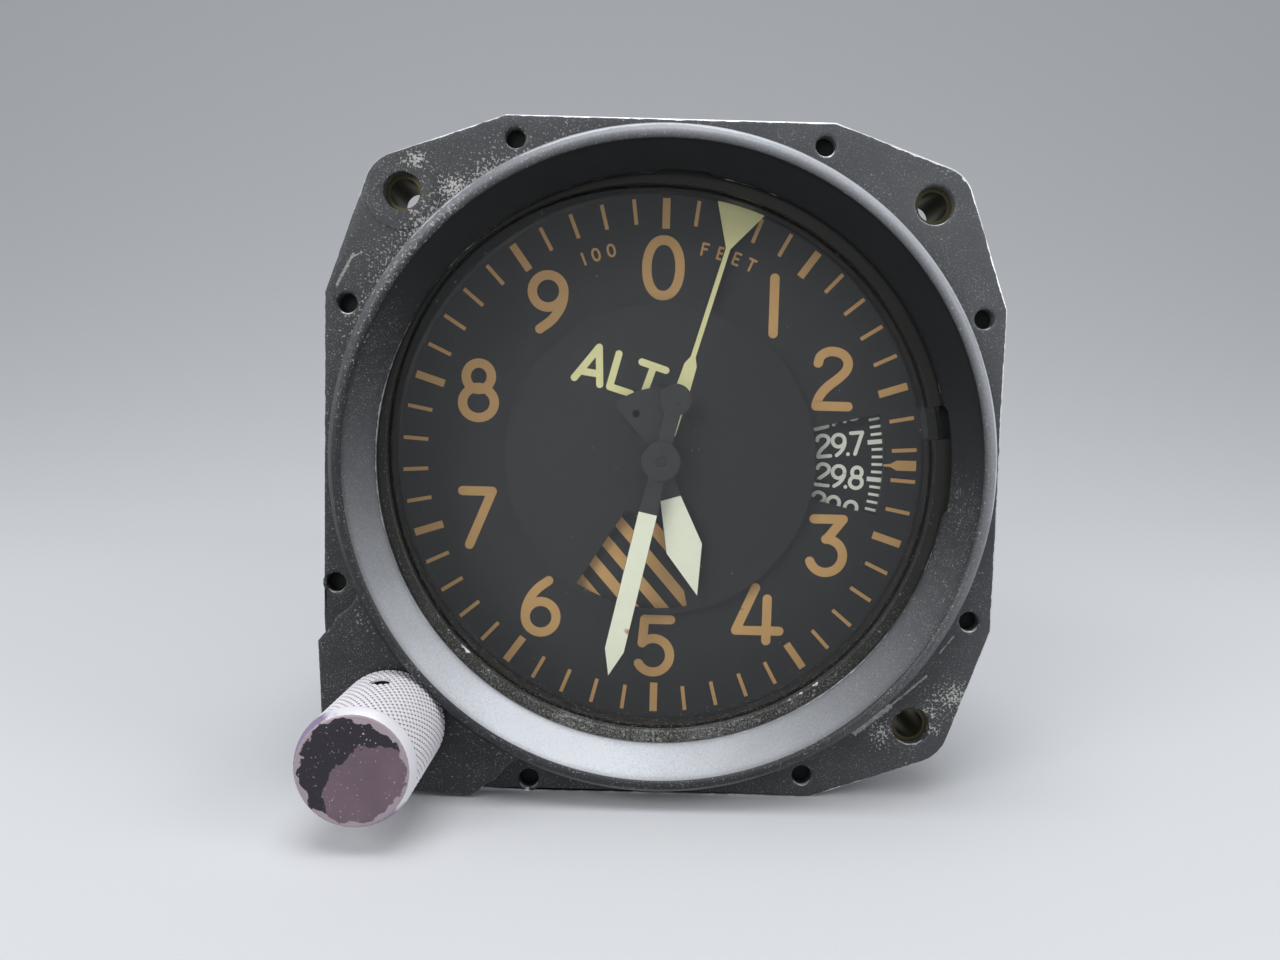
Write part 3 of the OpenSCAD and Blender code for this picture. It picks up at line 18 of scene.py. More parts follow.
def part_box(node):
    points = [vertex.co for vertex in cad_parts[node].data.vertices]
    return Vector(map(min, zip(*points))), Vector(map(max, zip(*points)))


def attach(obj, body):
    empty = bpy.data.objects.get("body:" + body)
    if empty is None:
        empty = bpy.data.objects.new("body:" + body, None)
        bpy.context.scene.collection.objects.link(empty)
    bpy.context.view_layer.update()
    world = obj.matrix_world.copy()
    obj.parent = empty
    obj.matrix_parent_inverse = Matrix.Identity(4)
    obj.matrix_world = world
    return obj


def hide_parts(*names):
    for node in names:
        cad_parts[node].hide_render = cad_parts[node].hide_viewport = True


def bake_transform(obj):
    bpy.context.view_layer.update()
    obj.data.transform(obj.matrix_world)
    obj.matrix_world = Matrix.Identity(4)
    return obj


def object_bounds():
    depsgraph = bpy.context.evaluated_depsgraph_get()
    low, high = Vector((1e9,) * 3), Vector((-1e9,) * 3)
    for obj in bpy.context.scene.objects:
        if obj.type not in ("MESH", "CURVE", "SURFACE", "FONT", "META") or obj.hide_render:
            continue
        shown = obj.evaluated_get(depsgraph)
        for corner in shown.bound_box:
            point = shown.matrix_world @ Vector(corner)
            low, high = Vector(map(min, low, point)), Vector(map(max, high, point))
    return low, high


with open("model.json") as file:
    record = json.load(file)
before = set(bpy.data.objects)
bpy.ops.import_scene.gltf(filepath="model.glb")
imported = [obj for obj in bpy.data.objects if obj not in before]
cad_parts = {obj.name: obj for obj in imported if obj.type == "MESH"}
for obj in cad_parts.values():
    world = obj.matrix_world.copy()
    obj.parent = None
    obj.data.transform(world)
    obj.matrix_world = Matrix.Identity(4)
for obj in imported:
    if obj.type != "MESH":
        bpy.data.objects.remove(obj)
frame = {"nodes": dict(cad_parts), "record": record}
nodes = frame["nodes"]
cad_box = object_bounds()
MM = 0.001


def in_mm(box):
    return [[round(v / MM, 2) for v in end] for end in box]


print("CAD box in mm:", in_mm(cad_box))

# %% [markdown]
# The camera stands only 108 mm in front of the flange, so the knob looks large and the dial small.
# Its place and tilt come from the three mounting holes, whose real distances are known. The rows of
# its rotation are its right, up and back directions.

# %% Camera
CAMERA_PLACE, CAMERA_TILT = (-2.7, 5.5, 108.1), (3.95, 0.06, -1.46)
SENSOR, FOCAL_PX, PICTURE_PX = 36, 900, 1280


def to_part(v):
    return (v[0], -v[2], v[1])


tilt = Euler([math.radians(a) for a in CAMERA_TILT]).to_matrix()
place = [v * MM for v in to_part(CAMERA_PLACE)]
lens = bpy.data.cameras.new("camera")
lens.sensor_width = SENSOR
lens.lens = SENSOR * FOCAL_PX / PICTURE_PX
lens.clip_start = 0.005
camera = bpy.data.objects.new("camera", lens)
camera.matrix_world = Matrix([*zip(*(to_part(row) for row in tilt), place), (0, 0, 0, 1)])
scene = bpy.context.scene
scene.collection.objects.link(camera)
scene.camera = camera
scene.view_settings.view_transform = "Standard"
print("lens in mm:", round(lens.lens, 2))

# %% [markdown]
# One helper adds a node, wires or sets its inputs, and gives back a Value, one output of that node.
# Sums with a Value add Math nodes to its tree, so a mask can be written as a formula.

# %% Node helpers


class Value:
    def __init__(self, socket):
        self.socket, self.tree = socket, socket.id_data

    def __getitem__(self, name):
        return Value(self.socket.node.outputs[name])

    def __add__(self, other):
        return maths("ADD", self, other)

    def __sub__(self, other):
        return maths("SUBTRACT", self, other)

    def __rsub__(self, other):
        return maths("SUBTRACT", other, self)

    def __mul__(self, other):
        return maths("MULTIPLY", self, other)

    def __truediv__(self, other):
        return maths("DIVIDE", self, other)


def feed(node, inputs):
    for key, value in inputs.items():
        if isinstance(value, Value):
            value.tree.links.new(value.socket, node.inputs[key])
        elif value is not None:
            node.inputs[key].default_value = value


def add(tree, kind, inputs=None, out=0, **settings):
    node = tree.nodes.new(kind)
    for key, value in settings.items():
        setattr(node, key, value)
    feed(node, inputs or {})
    return Value(node.outputs[out])


def maths(operation, a, b=None, clamp=False):
    tree = (a if isinstance(a, Value) else b).tree
    return add(tree, "ShaderNodeMath", {0: a, 1: b}, operation=operation, use_clamp=clamp)


def blend_value(mask, low, high):
    return add(mask.tree, "ShaderNodeMix", {0: mask, 2: low, 3: high}, data_type="FLOAT")


def material(name, colour, roughness, metallic=0.0):
    made = bpy.data.materials.new(name)
    made.use_nodes = True
    shader = made.node_tree.nodes["Principled BSDF"]
    feed(shader, {"Base Color": colour, "Roughness": roughness, "Metallic": metallic})
    return made, made.node_tree, shader


def show_instead(shader, other, where):
    tree = other.tree
    either = add(tree, "ShaderNodeMixShader", {0: where, 1: Value(shader.outputs[0]), 2: other})
    feed(tree.nodes["Material Output"], {"Surface": either})


# %% [markdown]
# Plain studio light: a large soft lamp overhead, two further off at the sides and an even surround.
# Floor and backdrop are one swept sheet. The glass mirrors what is behind the camera, in the
# photograph a dim room. So in mirrored rays floor and surround share one dim tone, or their border
# would show as a line across the dial.

# %% Floor, backdrop and lamps
SURROUND, MIRRORED, FILL = (0.9, 0.95, 1.0, 1), 0.42, 0.48
SWEEP_R = 1.3


def link(name, data):
    piece = bpy.data.objects.new(name, data)
    scene.collection.objects.link(piece)
    return piece


def srgb(r, g, b):
    def linear(c):
        c /= 255
        return c / 12.92 if c <= 0.04045 else ((c + 0.055) / 1.055) ** 2.4
    return (linear(r), linear(g), linear(b), 1)


floor_z = cad_box[0].z - 0.0001
rise = [(0.2 + SWEEP_R * math.sin(a), SWEEP_R - SWEEP_R * math.cos(a)) for a in np.radians(range(5, 91, 5))]
sweep = [(-1.6, 0), (0.2, 0), *rise, (1.5, 2.4)]
sheet = bpy.data.meshes.new("floor")
sheet.from_pydata([(x, y, floor_z + z) for y, z in sweep for x in (-2.2, 2.2)], [],
                  [(2 * i, 2 * i + 1, 2 * i + 3, 2 * i + 2) for i in range(len(sweep) - 1)])
sheet.shade_smooth()
floor_paint, tree, shader = material("floor_paint", srgb(214, 214, 216), 0.8)
mirrored = add(tree, "ShaderNodeEmission", {"Color": SURROUND, "Strength": MIRRORED})
show_instead(shader, mirrored, add(tree, "ShaderNodeLightPath", out="Is Glossy Ray"))
sheet.materials.append(floor_paint)
floor = link("floor", sheet)


def lamp(name, place, target, size, power, colour=(1, 1, 1)):
    data = bpy.data.lights.new(name, "AREA")
    data.shape, data.size, data.energy, data.color = "DISK", size, power, colour
    piece = link(name, data)
    piece.location = place
    piece.rotation_mode = "QUATERNION"
    piece.rotation_quaternion = Vector(np.subtract(place, target)).to_track_quat("Z", "Y")


lamp("lamp_top", (0.0, -0.12, 0.6), (0, 0, 0), 0.5, 2.4, (0.94, 0.97, 1.0))
lamp("lamp_left", (-0.65, -0.75, 0.45), (0, 0, 0), 0.6, 4.5)
lamp("lamp_right", (0.8, -0.35, 0.35), (0, 0.05, 0), 0.5, 2)
world = bpy.data.worlds.new("surround")
world.use_nodes = True
sky = world.node_tree
strength = blend_value(add(sky, "ShaderNodeLightPath", out="Is Glossy Ray"), FILL, MIRRORED)
feed(sky.nodes["Background"], {"Color": SURROUND, "Strength": strength})
scene.world = world
print("floor at", round(floor_z / MM, 2), "mm")

# %% [markdown]
# Four effects come back on many surfaces: grain in the paint, specks of dust, paint worn through at
# edges, which also paints highlights on edges, and smudges that change the gloss. Each is a node group
# that puts out a mask or a height, and every material sets its own scale and amount.

# %% Shared effects
SOCKETS = {float: "NodeSocketFloat", int: "NodeSocketInt"}
SHAPE, FINISH = "NodeSocketGeometry", "NodeSocketMaterial"


def group(name, kind, output, inputs):
    tree = bpy.data.node_groups.new(name, kind)
    for label, value in inputs.items():
        sort = SOCKETS.get(type(value), value)
        socket = tree.interface.new_socket(label, in_out="INPUT", socket_type=sort)
        if sort != value:
            socket.default_value = value
    sort = inputs.get(output, "NodeSocketFloat")
    tree.interface.new_socket(output, in_out="OUTPUT", socket_type=sort)
    return tree, add(tree, "NodeGroupInput"), tree.nodes.new("NodeGroupOutput")


def effect(name, output, **inputs):
    return group(name, "ShaderNodeTree", output, inputs)


def step(value, low, high):
    limits = {"Value": value, "From Min": low, "From Max": high}
    return add(value.tree, "ShaderNodeMapRange", limits, interpolation_type="SMOOTHSTEP")


def coordinates(tree):
    return add(tree, "ShaderNodeTexCoord", out="Object")


def noise(tree, scale, detail, vector=None, rough=0.55):
    vector = vector or coordinates(tree)
    inputs = {"Detail": detail, "Roughness": rough, "Scale": scale, "Vector": vector}
    return add(tree, "ShaderNodeTexNoise", inputs, "Fac")


grain, g_in, g_out = effect("paint_grain", "Height", Scale=2600.0, Coarse=0.4)
coarse = noise(grain, g_in["Scale"] * 0.22, 2)
feed(g_out, {"Height": noise(grain, g_in["Scale"], 3) + coarse * g_in["Coarse"]})

specks, s_in, s_out = effect("dust_specks", "Mask", Scale=1500.0, Amount=0.3)
patch = noise(specks, s_in["Scale"] * 0.06, 2)
limit = 0.83 - s_in["Amount"] * (patch * 0.65 + 0.35)
feed(s_out, {"Mask": step(noise(specks, s_in["Scale"], 1.5, rough=0.7), limit, limit + 0.05)})

# One ragged edge mask serves both worn paint and painted highlights on edges.
wear_and_highlight, w_in, w_out = effect("edge_wear_and_highlight", "Mask", Edge=0.0, Scale=700.0, Amount=0.5)
ragged = noise(wear_and_highlight, w_in["Scale"], 4, rough=0.62)
patchy = noise(wear_and_highlight, w_in["Scale"] * 0.12, 2)
push = ragged * 0.75 + patchy * 0.75 + (w_in["Amount"] - 1.3)
feed(w_out, {"Mask": step(w_in["Edge"] + push, 0.62, 0.7)})

smudges, m_in, m_out = effect("smudges", "Value", Scale=60.0, Low=0.4, High=0.6)
cloud = noise(smudges, m_in["Scale"], 4)
feed(m_out, {"Value": m_in["Low"] + cloud * (m_in["High"] - m_in["Low"])})
print("effects:", [g.name for g in bpy.data.node_groups])

# %% [markdown]
# Small helpers place an effect, mix two colours by a mask and feed a bump. With them each finish
# reads as a short recipe.

# %% Material helpers


def use(tree, effect_tree, **inputs):
    return add(tree, "ShaderNodeGroup", inputs, node_tree=effect_tree)


def clouds(tree, scale, low=0.0, high=1.0):
    return use(tree, smudges, Scale=scale, Low=low, High=high)


def specked(tree, scale, amount):
    return use(tree, specks, Scale=scale, Amount=amount)


def blend_colour(mask, low, high):
    return add(mask.tree, "ShaderNodeMix", {0: mask, 6: low, 7: high}, 2, data_type="RGBA", clamp_factor=True)


def bump(shader, height, depth_mm, strength):
    inputs = {"Strength": strength, "Distance": depth_mm * MM, "Height": height}
    feed(shader, {"Normal": add(height.tree, "ShaderNodeBump", inputs)})


def grainy(shader, scale, coarse, depth_mm, strength):
    bump(shader, use(shader.id_data, grain, Scale=scale, Coarse=coarse), depth_mm, strength)


def attribute(tree, name):
    return add(tree, "ShaderNodeAttribute", out="Fac", attribute_name=name)


def shade(colour, factor):
    return tuple(min(1, c * factor) for c in colour[:3]) + (1,)


def axes(vector):
    split = add(vector.tree, "ShaderNodeSeparateXYZ", {0: vector})
    return split["X"], split["Y"], split["Z"]


def hypot(x, z):
    return maths("SQRT", x * x + z * z)


def jitter(tree, scale, detail, reach):
    return (noise(tree, scale, detail) - 0.5) * reach


# %% [markdown]
# The casting's paint is black, and where it is handled or dusty it has gone paler. One attribute says
# how pale, and it also carries painted sheen and highlight: a little on the flange, with a painted
# sheen towards the upper right; more on the rubbed crest, with a painted highlight on its lit side;
# and nearly white low on the cone, a film of fine dust with a painted highlight where the cone faces
# up. "edge" is high at an edge, where the paint is worn to bare aluminium, and also where edges and
# rims facing the light get a painted highlight in the same colour. "dust" is high in the corner
# between flange and ring. A scratch is the distance to a line, with a ragged rim.

# %% Painted metal
# The bare metal colour also paints highlights, and the pale film colour also paints sheen and highlight.
BARE_METAL_AND_HIGHLIGHT, FILM_AND_SHEEN, PALE_DUST = (0.8, 0.81, 0.84, 1), srgb(220, 222, 227), srgb(192, 190, 184)
SCRATCHES = [((24.6, -32.4), (28.7, -29.0), 0.62), ((28.7, -29.0), (33.0, -25.1), 0.22),
             ((34.5, -22.2), (36.1, -20.1), 0.18), ((-39.1, 20.4), (-37.2, 24.0), 0.3),
             ((-37.4, 23.6), (-36.2, 24.2), 0.16)]


def near_segment(tree, start, end, width):
    length = math.dist(start, end)
    ux, uz = (end[0] - start[0]) / length, (end[1] - start[1]) / length
    x, _, z = axes(coordinates(tree))
    x, z = x - start[0] * MM, z - start[1] * MM
    along = maths("MINIMUM", maths("MAXIMUM", x * ux + z * uz, 0.0), length * MM)
    off = hypot(x - along * ux, z - along * uz) + jitter(tree, 2200, 2, width * 1.6 * MM)
    return 1.0 - step(off, width * 0.4 * MM, width * 0.6 * MM)


def painted(name, colour, roughness, wear_and_highlight_amount, specks_amount, everywhere=0.0, scratches=()):
    made, tree, shader = material(name, colour, roughness)
    film_and_sheen, in_corner = attribute(tree, "film_and_sheen"), attribute(tree, "dust")
    amount = maths("ADD", film_and_sheen * 45.0, everywhere, clamp=True) * specks_amount
    # Worn paint and painted highlights on edges share this mask.
    worn_and_highlight = use(tree, wear_and_highlight, Edge=attribute(tree, "edge"), Amount=wear_and_highlight_amount, Scale=620.0)
    dusty = specked(tree, 2900.0, amount + in_corner * 0.4)
    cloudy = clouds(tree, 90.0)
    mottled = cloudy * 0.45 + noise(tree, 3600, 2) * 0.5
    base = blend_colour(cloudy, shade(colour, 0.75), shade(colour, 1.35))
    base = blend_colour(film_and_sheen * (mottled + 0.55), base, FILM_AND_SHEEN)
    base = blend_colour(specked(tree, 5200.0, amount * 1.4) * 0.3, base, srgb(170, 170, 168))
    for scratch in scratches:
        scratched = near_segment(tree, *scratch) * (noise(tree, 1500, 2) * 1.2)
        base = blend_colour(scratched, base, srgb(170, 168, 162))
    base = blend_colour(dusty * (in_corner * 0.5 + 0.4), base, PALE_DUST)
    gloss = blend_value(dusty, clouds(tree, 140.0, roughness - 0.08, roughness + 0.1), 0.8)
    feed(shader, {"Specular IOR Level": 0.35, "Base Color": blend_colour(worn_and_highlight, base, BARE_METAL_AND_HIGHLIGHT),
                  "Metallic": worn_and_highlight * 0.6, "Roughness": blend_value(worn_and_highlight, gloss, 0.42)})
    grainy(shader, 2300.0, 0.7, 0.035, 0.7)
    return made


casting_paint = painted("casting_paint", srgb(27, 28, 30), 0.42, 0.52, 0.24, scratches=SCRATCHES)
case_paint = painted("case_paint", srgb(46, 47, 50), 0.45, 0.3, 0.12, everywhere=1.0)
print("paints made")

# %% [markdown]
# A metal is a colour, a fine directional grain and a few smudges. One function serves brass, steel,
# aluminium and the plated shell. The main arbor's end in the hub is blackened, so a metal may turn
# black in front of a given depth.

# %% Bare metals and plastics
STEEL = (0.56, 0.56, 0.57, 1)


def bare_metal(name, colour, roughness, black_end=None):
    made, tree, shader = material(name, colour, roughness, 1.0)
    drawn = add(tree, "ShaderNodeMapping", {"Scale": (1, 0.06, 1), "Vector": coordinates(tree)})
    lines = noise(tree, 900.0, 3, drawn)
    base, metallic = blend_colour(clouds(tree, 180.0), shade(colour, 0.76), colour), None
    if black_end is not None:
        blacked = step(axes(coordinates(tree))[1], black_end + 0.0011, black_end + 0.001)
        base, metallic = blend_colour(blacked, base, srgb(38, 38, 40)), 1.0 - blacked
    feed(shader, {"Base Color": base, "Metallic": metallic, "Roughness": lines * 0.16 + (roughness - 0.08)})
    bump(shader, lines, 0.006, 0.4)
    return made


def moulded(name, colour, roughness, specks_amount, grain_strength=0.4):
    made, tree, shader = material(name, colour, roughness)
    base = blend_colour(clouds(tree, 120.0), shade(colour, 0.8), shade(colour, 1.2))
    base = blend_colour(specked(tree, 1600.0, specks_amount) * 0.4, base, srgb(150, 148, 140))
    feed(shader, {"Base Color": base, "Roughness": clouds(tree, 150.0, roughness - 0.06, roughness + 0.08)})
    grainy(shader, 3000.0, 0.3, 0.01, grain_strength)
    return made


finishes = {
    "black_paint": case_paint,
    "black_ring": moulded("ring_black", srgb(30, 30, 30), 0.5, 0.35),
    "dial_black": moulded("dial_lacquer", srgb(21, 21, 23), 0.5, 0.0, 0.1),
    "pointer_white": moulded("pointer_black", srgb(40, 40, 42), 0.4, 0.05, 0.2),
    "rubber": moulded("rubber_black", srgb(28, 28, 28), 0.7, 0.2),
    "steel": bare_metal("steel_bright", STEEL, 0.32),
    "brass": bare_metal("brass_plain", (0.62, 0.47, 0.2, 1), 0.34),
    "aluminium": bare_metal("aluminium_clear", (0.64, 0.65, 0.67, 1), 0.4),
    "bimetal": bare_metal("nickel_copper", (0.6, 0.52, 0.34, 1), 0.3),
    "ruby": moulded("ruby_synthetic", srgb(150, 20, 50), 0.15, 0.0),
    "plated_shell": bare_metal("shell_plated", (0.66, 0.62, 0.46, 1), 0.3),
    "black_plastic": moulded("plastic_black", srgb(32, 32, 34), 0.5, 0.15),
    "code_film": moulded("film_grey", srgb(150, 150, 146), 0.2, 0.0),
    "board": moulded("board_green", srgb(28, 84, 48), 0.4, 0.1),
}
slot_of = {s["node"]: s["material_slot"] for s in frame["record"]["subparts"]}


def finish_node(name, made):
    slots = nodes[name].material_slots
    for slot in slots:
        slot.material = made
    if not slots:
        nodes[name].data.materials.append(made)


for name in nodes:
    if slot_of[name] in finishes:
        finish_node(name, finishes[slot_of[name]])
# The case screws sit deep in their holes and are coloured near black as painted shade.
finish_node("case_screws", bare_metal("steel_painted_shade", (0.03, 0.03, 0.03, 1), 0.6))
# The mount inserts' brass is darkened as painted shade deep in the holes.
finish_node("mount_inserts", bare_metal("brass_painted_shade", (0.13, 0.115, 0.065, 1), 0.5))
finish_node("main_arbor", bare_metal("steel_black_end", STEEL, 0.32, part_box("main_arbor")[0].y))
print("finished", sum(slot_of[n] in finishes for n in nodes), "of", len(nodes), "nodes")

# %% [markdown]
# A refracting shader alone throws a black shadow on the dial. So shadow rays pass through a
# Transparent shader, picked by the Light Path node.

# %% Cover glass
glass, tree, shader = material("cover_glass", (1, 1, 1, 1), 0.03)
feed(shader, {"Transmission Weight": 1.0, "IOR": 1.46,
              "Roughness": blend_value(specked(tree, 900.0, 0.1), 0.02, 0.4)})
rays = add(tree, "ShaderNodeLightPath")
passing = maths("MAXIMUM", rays["Is Shadow Ray"], rays["Is Diffuse Ray"])
show_instead(shader, add(tree, "ShaderNodeBsdfTransparent"), passing)
finish_node("cover_glass", glass)
print("glass ready")

# %% [markdown]
# Pieces are drawn in millimetres and brought to metres once, with every face pointing outwards. A
# lathe turns a closed profile of radius and depth about an axis along Y.

# %% Mesh helpers


def closed_mesh(name, verts, faces):
    mesh = bpy.data.meshes.new(name)
    mesh.from_pydata([(x * MM, y * MM, z * MM) for x, y, z in verts], [], faces)
    shape = bmesh.new()
    shape.from_mesh(mesh)
    bmesh.ops.recalc_face_normals(shape, faces=shape.faces)
    shape.to_mesh(mesh)
    shape.free()
    return mesh


def set_masks(mesh, masks):
    for name, values in masks.items():
        mesh.attributes.new(name, "FLOAT", "POINT").data.foreach_set("value", np.array(values, np.float32))


def shaped(name, verts, faces, made, masks=None, smooth=40):
    mesh = closed_mesh(name, verts, faces)
    set_masks(mesh, masks or {})
    mesh.shade_smooth()
    mesh.set_sharp_from_angle(angle=math.radians(smooth))
    mesh.materials.append(made)
    print(name, len(mesh.vertices), "points")
    return link(name, mesh)


def build(name, verts, faces, made, body, slot, masks=None):
    piece = shaped(name, verts, faces, made, masks)
    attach(piece, body)
    return piece


def pairs(loop):
    return zip(loop, loop[1:] + loop[:1])


def lathe(profile, steps, centre=(0, 0)):
    verts, rings = [], []
    for r, y in profile:
        count = steps if r else 1
        rings.append([len(verts) + i % count for i in range(steps)])
        angles = [2 * math.pi * i / steps for i in range(count)]
        verts += [(centre[0] + r * math.sin(a), y, centre[1] + r * math.cos(a)) for a in angles]
    around = [(i, (i + 1) % steps) for i in range(steps)]
    faces = [list(dict.fromkeys((a[i], a[j], b[j], b[i]))) for a, b in pairs(rings) for i, j in around]
    return verts, [face for face in faces if len(face) > 2]


# %% [markdown]
# The flange is a 2D outline with holes. A filled 2D curve with a small bevel gives a plate whose
# every edge, the holes' too, is softly rounded. The curve is turned to face -Y and cut into a fine
# grid, so that the plate has points to hold its masks.

# %% Flange plate
HALF, FLAT, PITCH, TIP_R = 40.65, 19.4, 31.43, 4.7
KNOB_AT, BOSS_R, SHAFT_R = 44.5 / math.sqrt(2), 8.6, 3.55
SCREW_CIRCLE, BESIDE_KNOB = 42.1, 23.6
GRID = np.arange(-42, 43.4, 1.4)


def turned(points, clock):
    c, s = math.cos(math.radians(clock)), math.sin(math.radians(clock))
    return [(x * c + z * s, -x * s + z * c) for x, z in points]


def corner(d, r, turn):
    away = np.array([FLAT - d, HALF - d])
    reach = math.atan2(away[1], away[0]) - math.acos(r / np.linalg.norm(away))
    tip = [(d + r * math.cos(a), d + r * math.sin(a)) for a in np.linspace(reach, math.pi / 2 - reach, 21)]
    return turned([(FLAT, HALF), *tip, (HALF, FLAT)], turn)


def at_clock(d, clock):
    return (d * math.sin(math.radians(clock)), d * math.cos(math.radians(clock)))


def circle(centre, r, steps=40):
    angles = [2 * math.pi * i / steps for i in range(steps)]
    return [(centre[0] + r * math.cos(a), centre[1] + r * math.sin(a)) for a in angles]


def slab(loops, y0, y1, bevel, depths=()):
    data = bpy.data.curves.new("outline", "CURVE")
    data.dimensions, data.fill_mode = "2D", "BOTH"
    data.extrude, data.offset = (y1 - y0) / 2 - bevel, -bevel
    data.bevel_depth, data.bevel_resolution = bevel, 2
    for loop in loops:
        spline = data.splines.new("POLY")
        spline.points.add(len(loop) - 1)
        for point, (x, z) in zip(spline.points, loop):
            point.co = (x, z, 0, 1)
        spline.use_cyclic_u = True
    piece = link("outline", data)
    bpy.context.view_layer.update()
    mesh = bpy.data.meshes.new_from_object(piece.evaluated_get(bpy.context.evaluated_depsgraph_get()))
    shape = bmesh.new()
    made = [shape.verts.new((v.co.x, (y0 + y1) / 2 - v.co.z, v.co.y)) for v in mesh.vertices]
    for polygon in mesh.polygons:
        shape.faces.new([made[i] for i in polygon.vertices])
    bpy.data.objects.remove(piece)
    bpy.data.curves.remove(data)
    bpy.data.meshes.remove(mesh)
    bmesh.ops.remove_doubles(shape, verts=shape.verts, dist=1e-4)
    cuts = [(axis, k) for axis in ((1, 0, 0), (0, 0, 1)) for k in GRID] + [((0, 1, 0), y) for y in depths]
    for axis, k in cuts:
        bmesh.ops.bisect_plane(shape, geom=shape.verts[:] + shape.edges[:] + shape.faces[:], dist=1e-5,
                               plane_co=[c * k for c in axis], plane_no=axis)
    shape.verts.index_update()
    out = [tuple(v.co) for v in shape.verts], [[v.index for v in f.verts] for f in shape.faces]
    shape.free()
    return out


outline = corner(PITCH, TIP_R, 0) + corner(PITCH, TIP_R, 90)
outline += corner(KNOB_AT, BOSS_R, 180) + corner(PITCH, TIP_R, 270)
screw_clocks = [25.7, 64.3, 115.7, 154.3, 225 - BESIDE_KNOB, 225 + BESIDE_KNOB, 295.7, 334.3]
screw_places = [at_clock(SCREW_CIRCLE, c) for c in screw_clocks]
mount_places = [(-PITCH, PITCH), (PITCH, PITCH), (PITCH, -PITCH)]
knob_place = (-KNOB_AT, -KNOB_AT)
holes = [circle(p, 1.18, 24) for p in screw_places] + [circle(p, 2.28) for p in mount_places]
holes += [circle(knob_place, SHAFT_R)]
plate = slab([outline, circle((0, 0), 36.5, 120), *holes], 0, 5, 0.35, depths=(0.8,))
print("flange plate:", len(plate[0]), "points")

# %% [markdown]
# Two curves describe the wear and the painted light: `fall` is 1 at a line or a spot and fades over a
# reach, and `lit` is 1 at one clock angle and 0 opposite, the side painted as lit. Chips and smears
# are spots with a place and a reach, and a smear also has an amount.

# %% Wear and painted highlights on the flange
CHIPS = [(-36.6, 31.9, 0.9), (-38.6, 24.5, 0.9), (-28.9, 37.1, 0.9), (34.5, 34.3, 0.7),
         (28.9, 37.4, 0.9), (40.3, 21.0, 0.8), (38.2, -24.5, 0.7)]
SMEARS = [(36.4, -27.8, 2.2, 0.7), (33.3, -29.0, 1.2, 0.6), (27.8, -32.6, 1.8, 0.55),
          (34.3, -31.6, 0.9, 0.6), (31.1, -36.0, 1.8, 0.4), (-29.8, 35.2, 1.3, 0.9),
          (-25.6, 32.2, 1.2, 1.0), (33.0, 36.0, 1.2, 0.4), (36.6, 30.5, 1.0, 0.3)]
BASE_R = 39.6


def fall(distance, reach, power=2):
    return np.exp(-np.abs(distance / reach) ** power)


def lit(clock, peak):
    return 0.5 + 0.5 * np.cos(np.radians(clock - peak))


def distance_to(points, loop):
    best = np.full(len(points), 1e9)
    for a, b in pairs(loop):
        a, b = np.array(a), np.array(b)
        t = np.clip(((points - a) @ (b - a)) / max(1e-12, (b - a) @ (b - a)), 0, 1)
        best = np.minimum(best, np.linalg.norm(points - (a + t[:, None] * (b - a)), axis=1))
    return best


def flange_masks(verts, loop, rims, strength=1.0):
    x, y, z = np.array(verts).T
    clock, radius = np.degrees(np.arctan2(x, z)), np.hypot(x, z)
    # Edges are worn, and brighter towards the upper right as a painted highlight.
    edge = fall(distance_to(np.stack([x, z], 1), loop), 0.45, 1) * (0.72 + 0.42 * lit(clock, 45))
    for (cx, cz), r in rims:
        # The lower part of each hole's rim gets a painted highlight, where it faces up.
        low = np.clip((cz - z) / r, 0, 1)
        edge = np.maximum(edge, fall(np.hypot(x - cx, z - cz) - r, 0.3, 1) * (0.5 + 0.46 * low))
    for cx, cz, reach in CHIPS:
        edge = np.maximum(edge, 0.85 * fall(np.hypot(x - cx, z - cz), reach))
    edge *= strength * np.clip(1 - (y - y.min() - 0.4) / 0.5, 0.3, 1)
    upper_left = fall(clock + 45, 26)
    dust = (fall(radius - BASE_R, 1.1, 1) * (0.2 + 0.8 * upper_left)
            + 0.2 * fall(radius - 42, 2) * upper_left)
    for cx, cz, reach, amount in SMEARS:
        dust += amount * fall(np.hypot(x - cx, z - cz), reach)
    # The last column is a pale film that lets dust specks show, with a painted sheen towards the upper right.
    return np.stack([edge, np.minimum(dust, 1), 0.028 + 0.066 * lit(clock, 45) ** 1.5], 1)


rims = [(p, 1.2) for p in screw_places] + [(p, 2.3) for p in mount_places]
plate_masks = flange_masks(plate[0], outline, rims)
print("wear on the plate, mean edge, dust and haze:", plate_masks.mean(axis=0).round(3))

# %% [markdown]
# At the knob's corner the casting rises in a pad, cut from the same outline, with an S-curved edge
# round the two screw holes beside it. The upper left corner keeps a thin boss round its hole.

# %% Raised pad and faced boss
PAD_START = 38.6
CUTS = [(SCREW_CIRCLE, BESIDE_KNOB, 3.4), (46.1, 21.9, 4.0)]
pad_cuts = [(at_clock(d, 225 + side * gap), r) for d, gap, r in CUTS for side in (-1, 1)]


def clip(loop, keep):
    out = []
    for a, b in pairs(loop):
        fa, fb = keep(a), keep(b)
        if fa >= 0:
            out.append(a)
        if fa * fb < 0:
            t = fa / (fa - fb)
            out.append((a[0] + (b[0] - a[0]) * t, a[1] + (b[1] - a[1]) * t))
    return out


def in_loop(p, loop):
    found = False
    for a, b in pairs(loop):
        if (a[1] > p[1]) != (b[1] > p[1]) and p[0] < a[0] + (p[1] - a[1]) * (b[0] - a[0]) / (b[1] - a[1]):
            found = not found
    return found


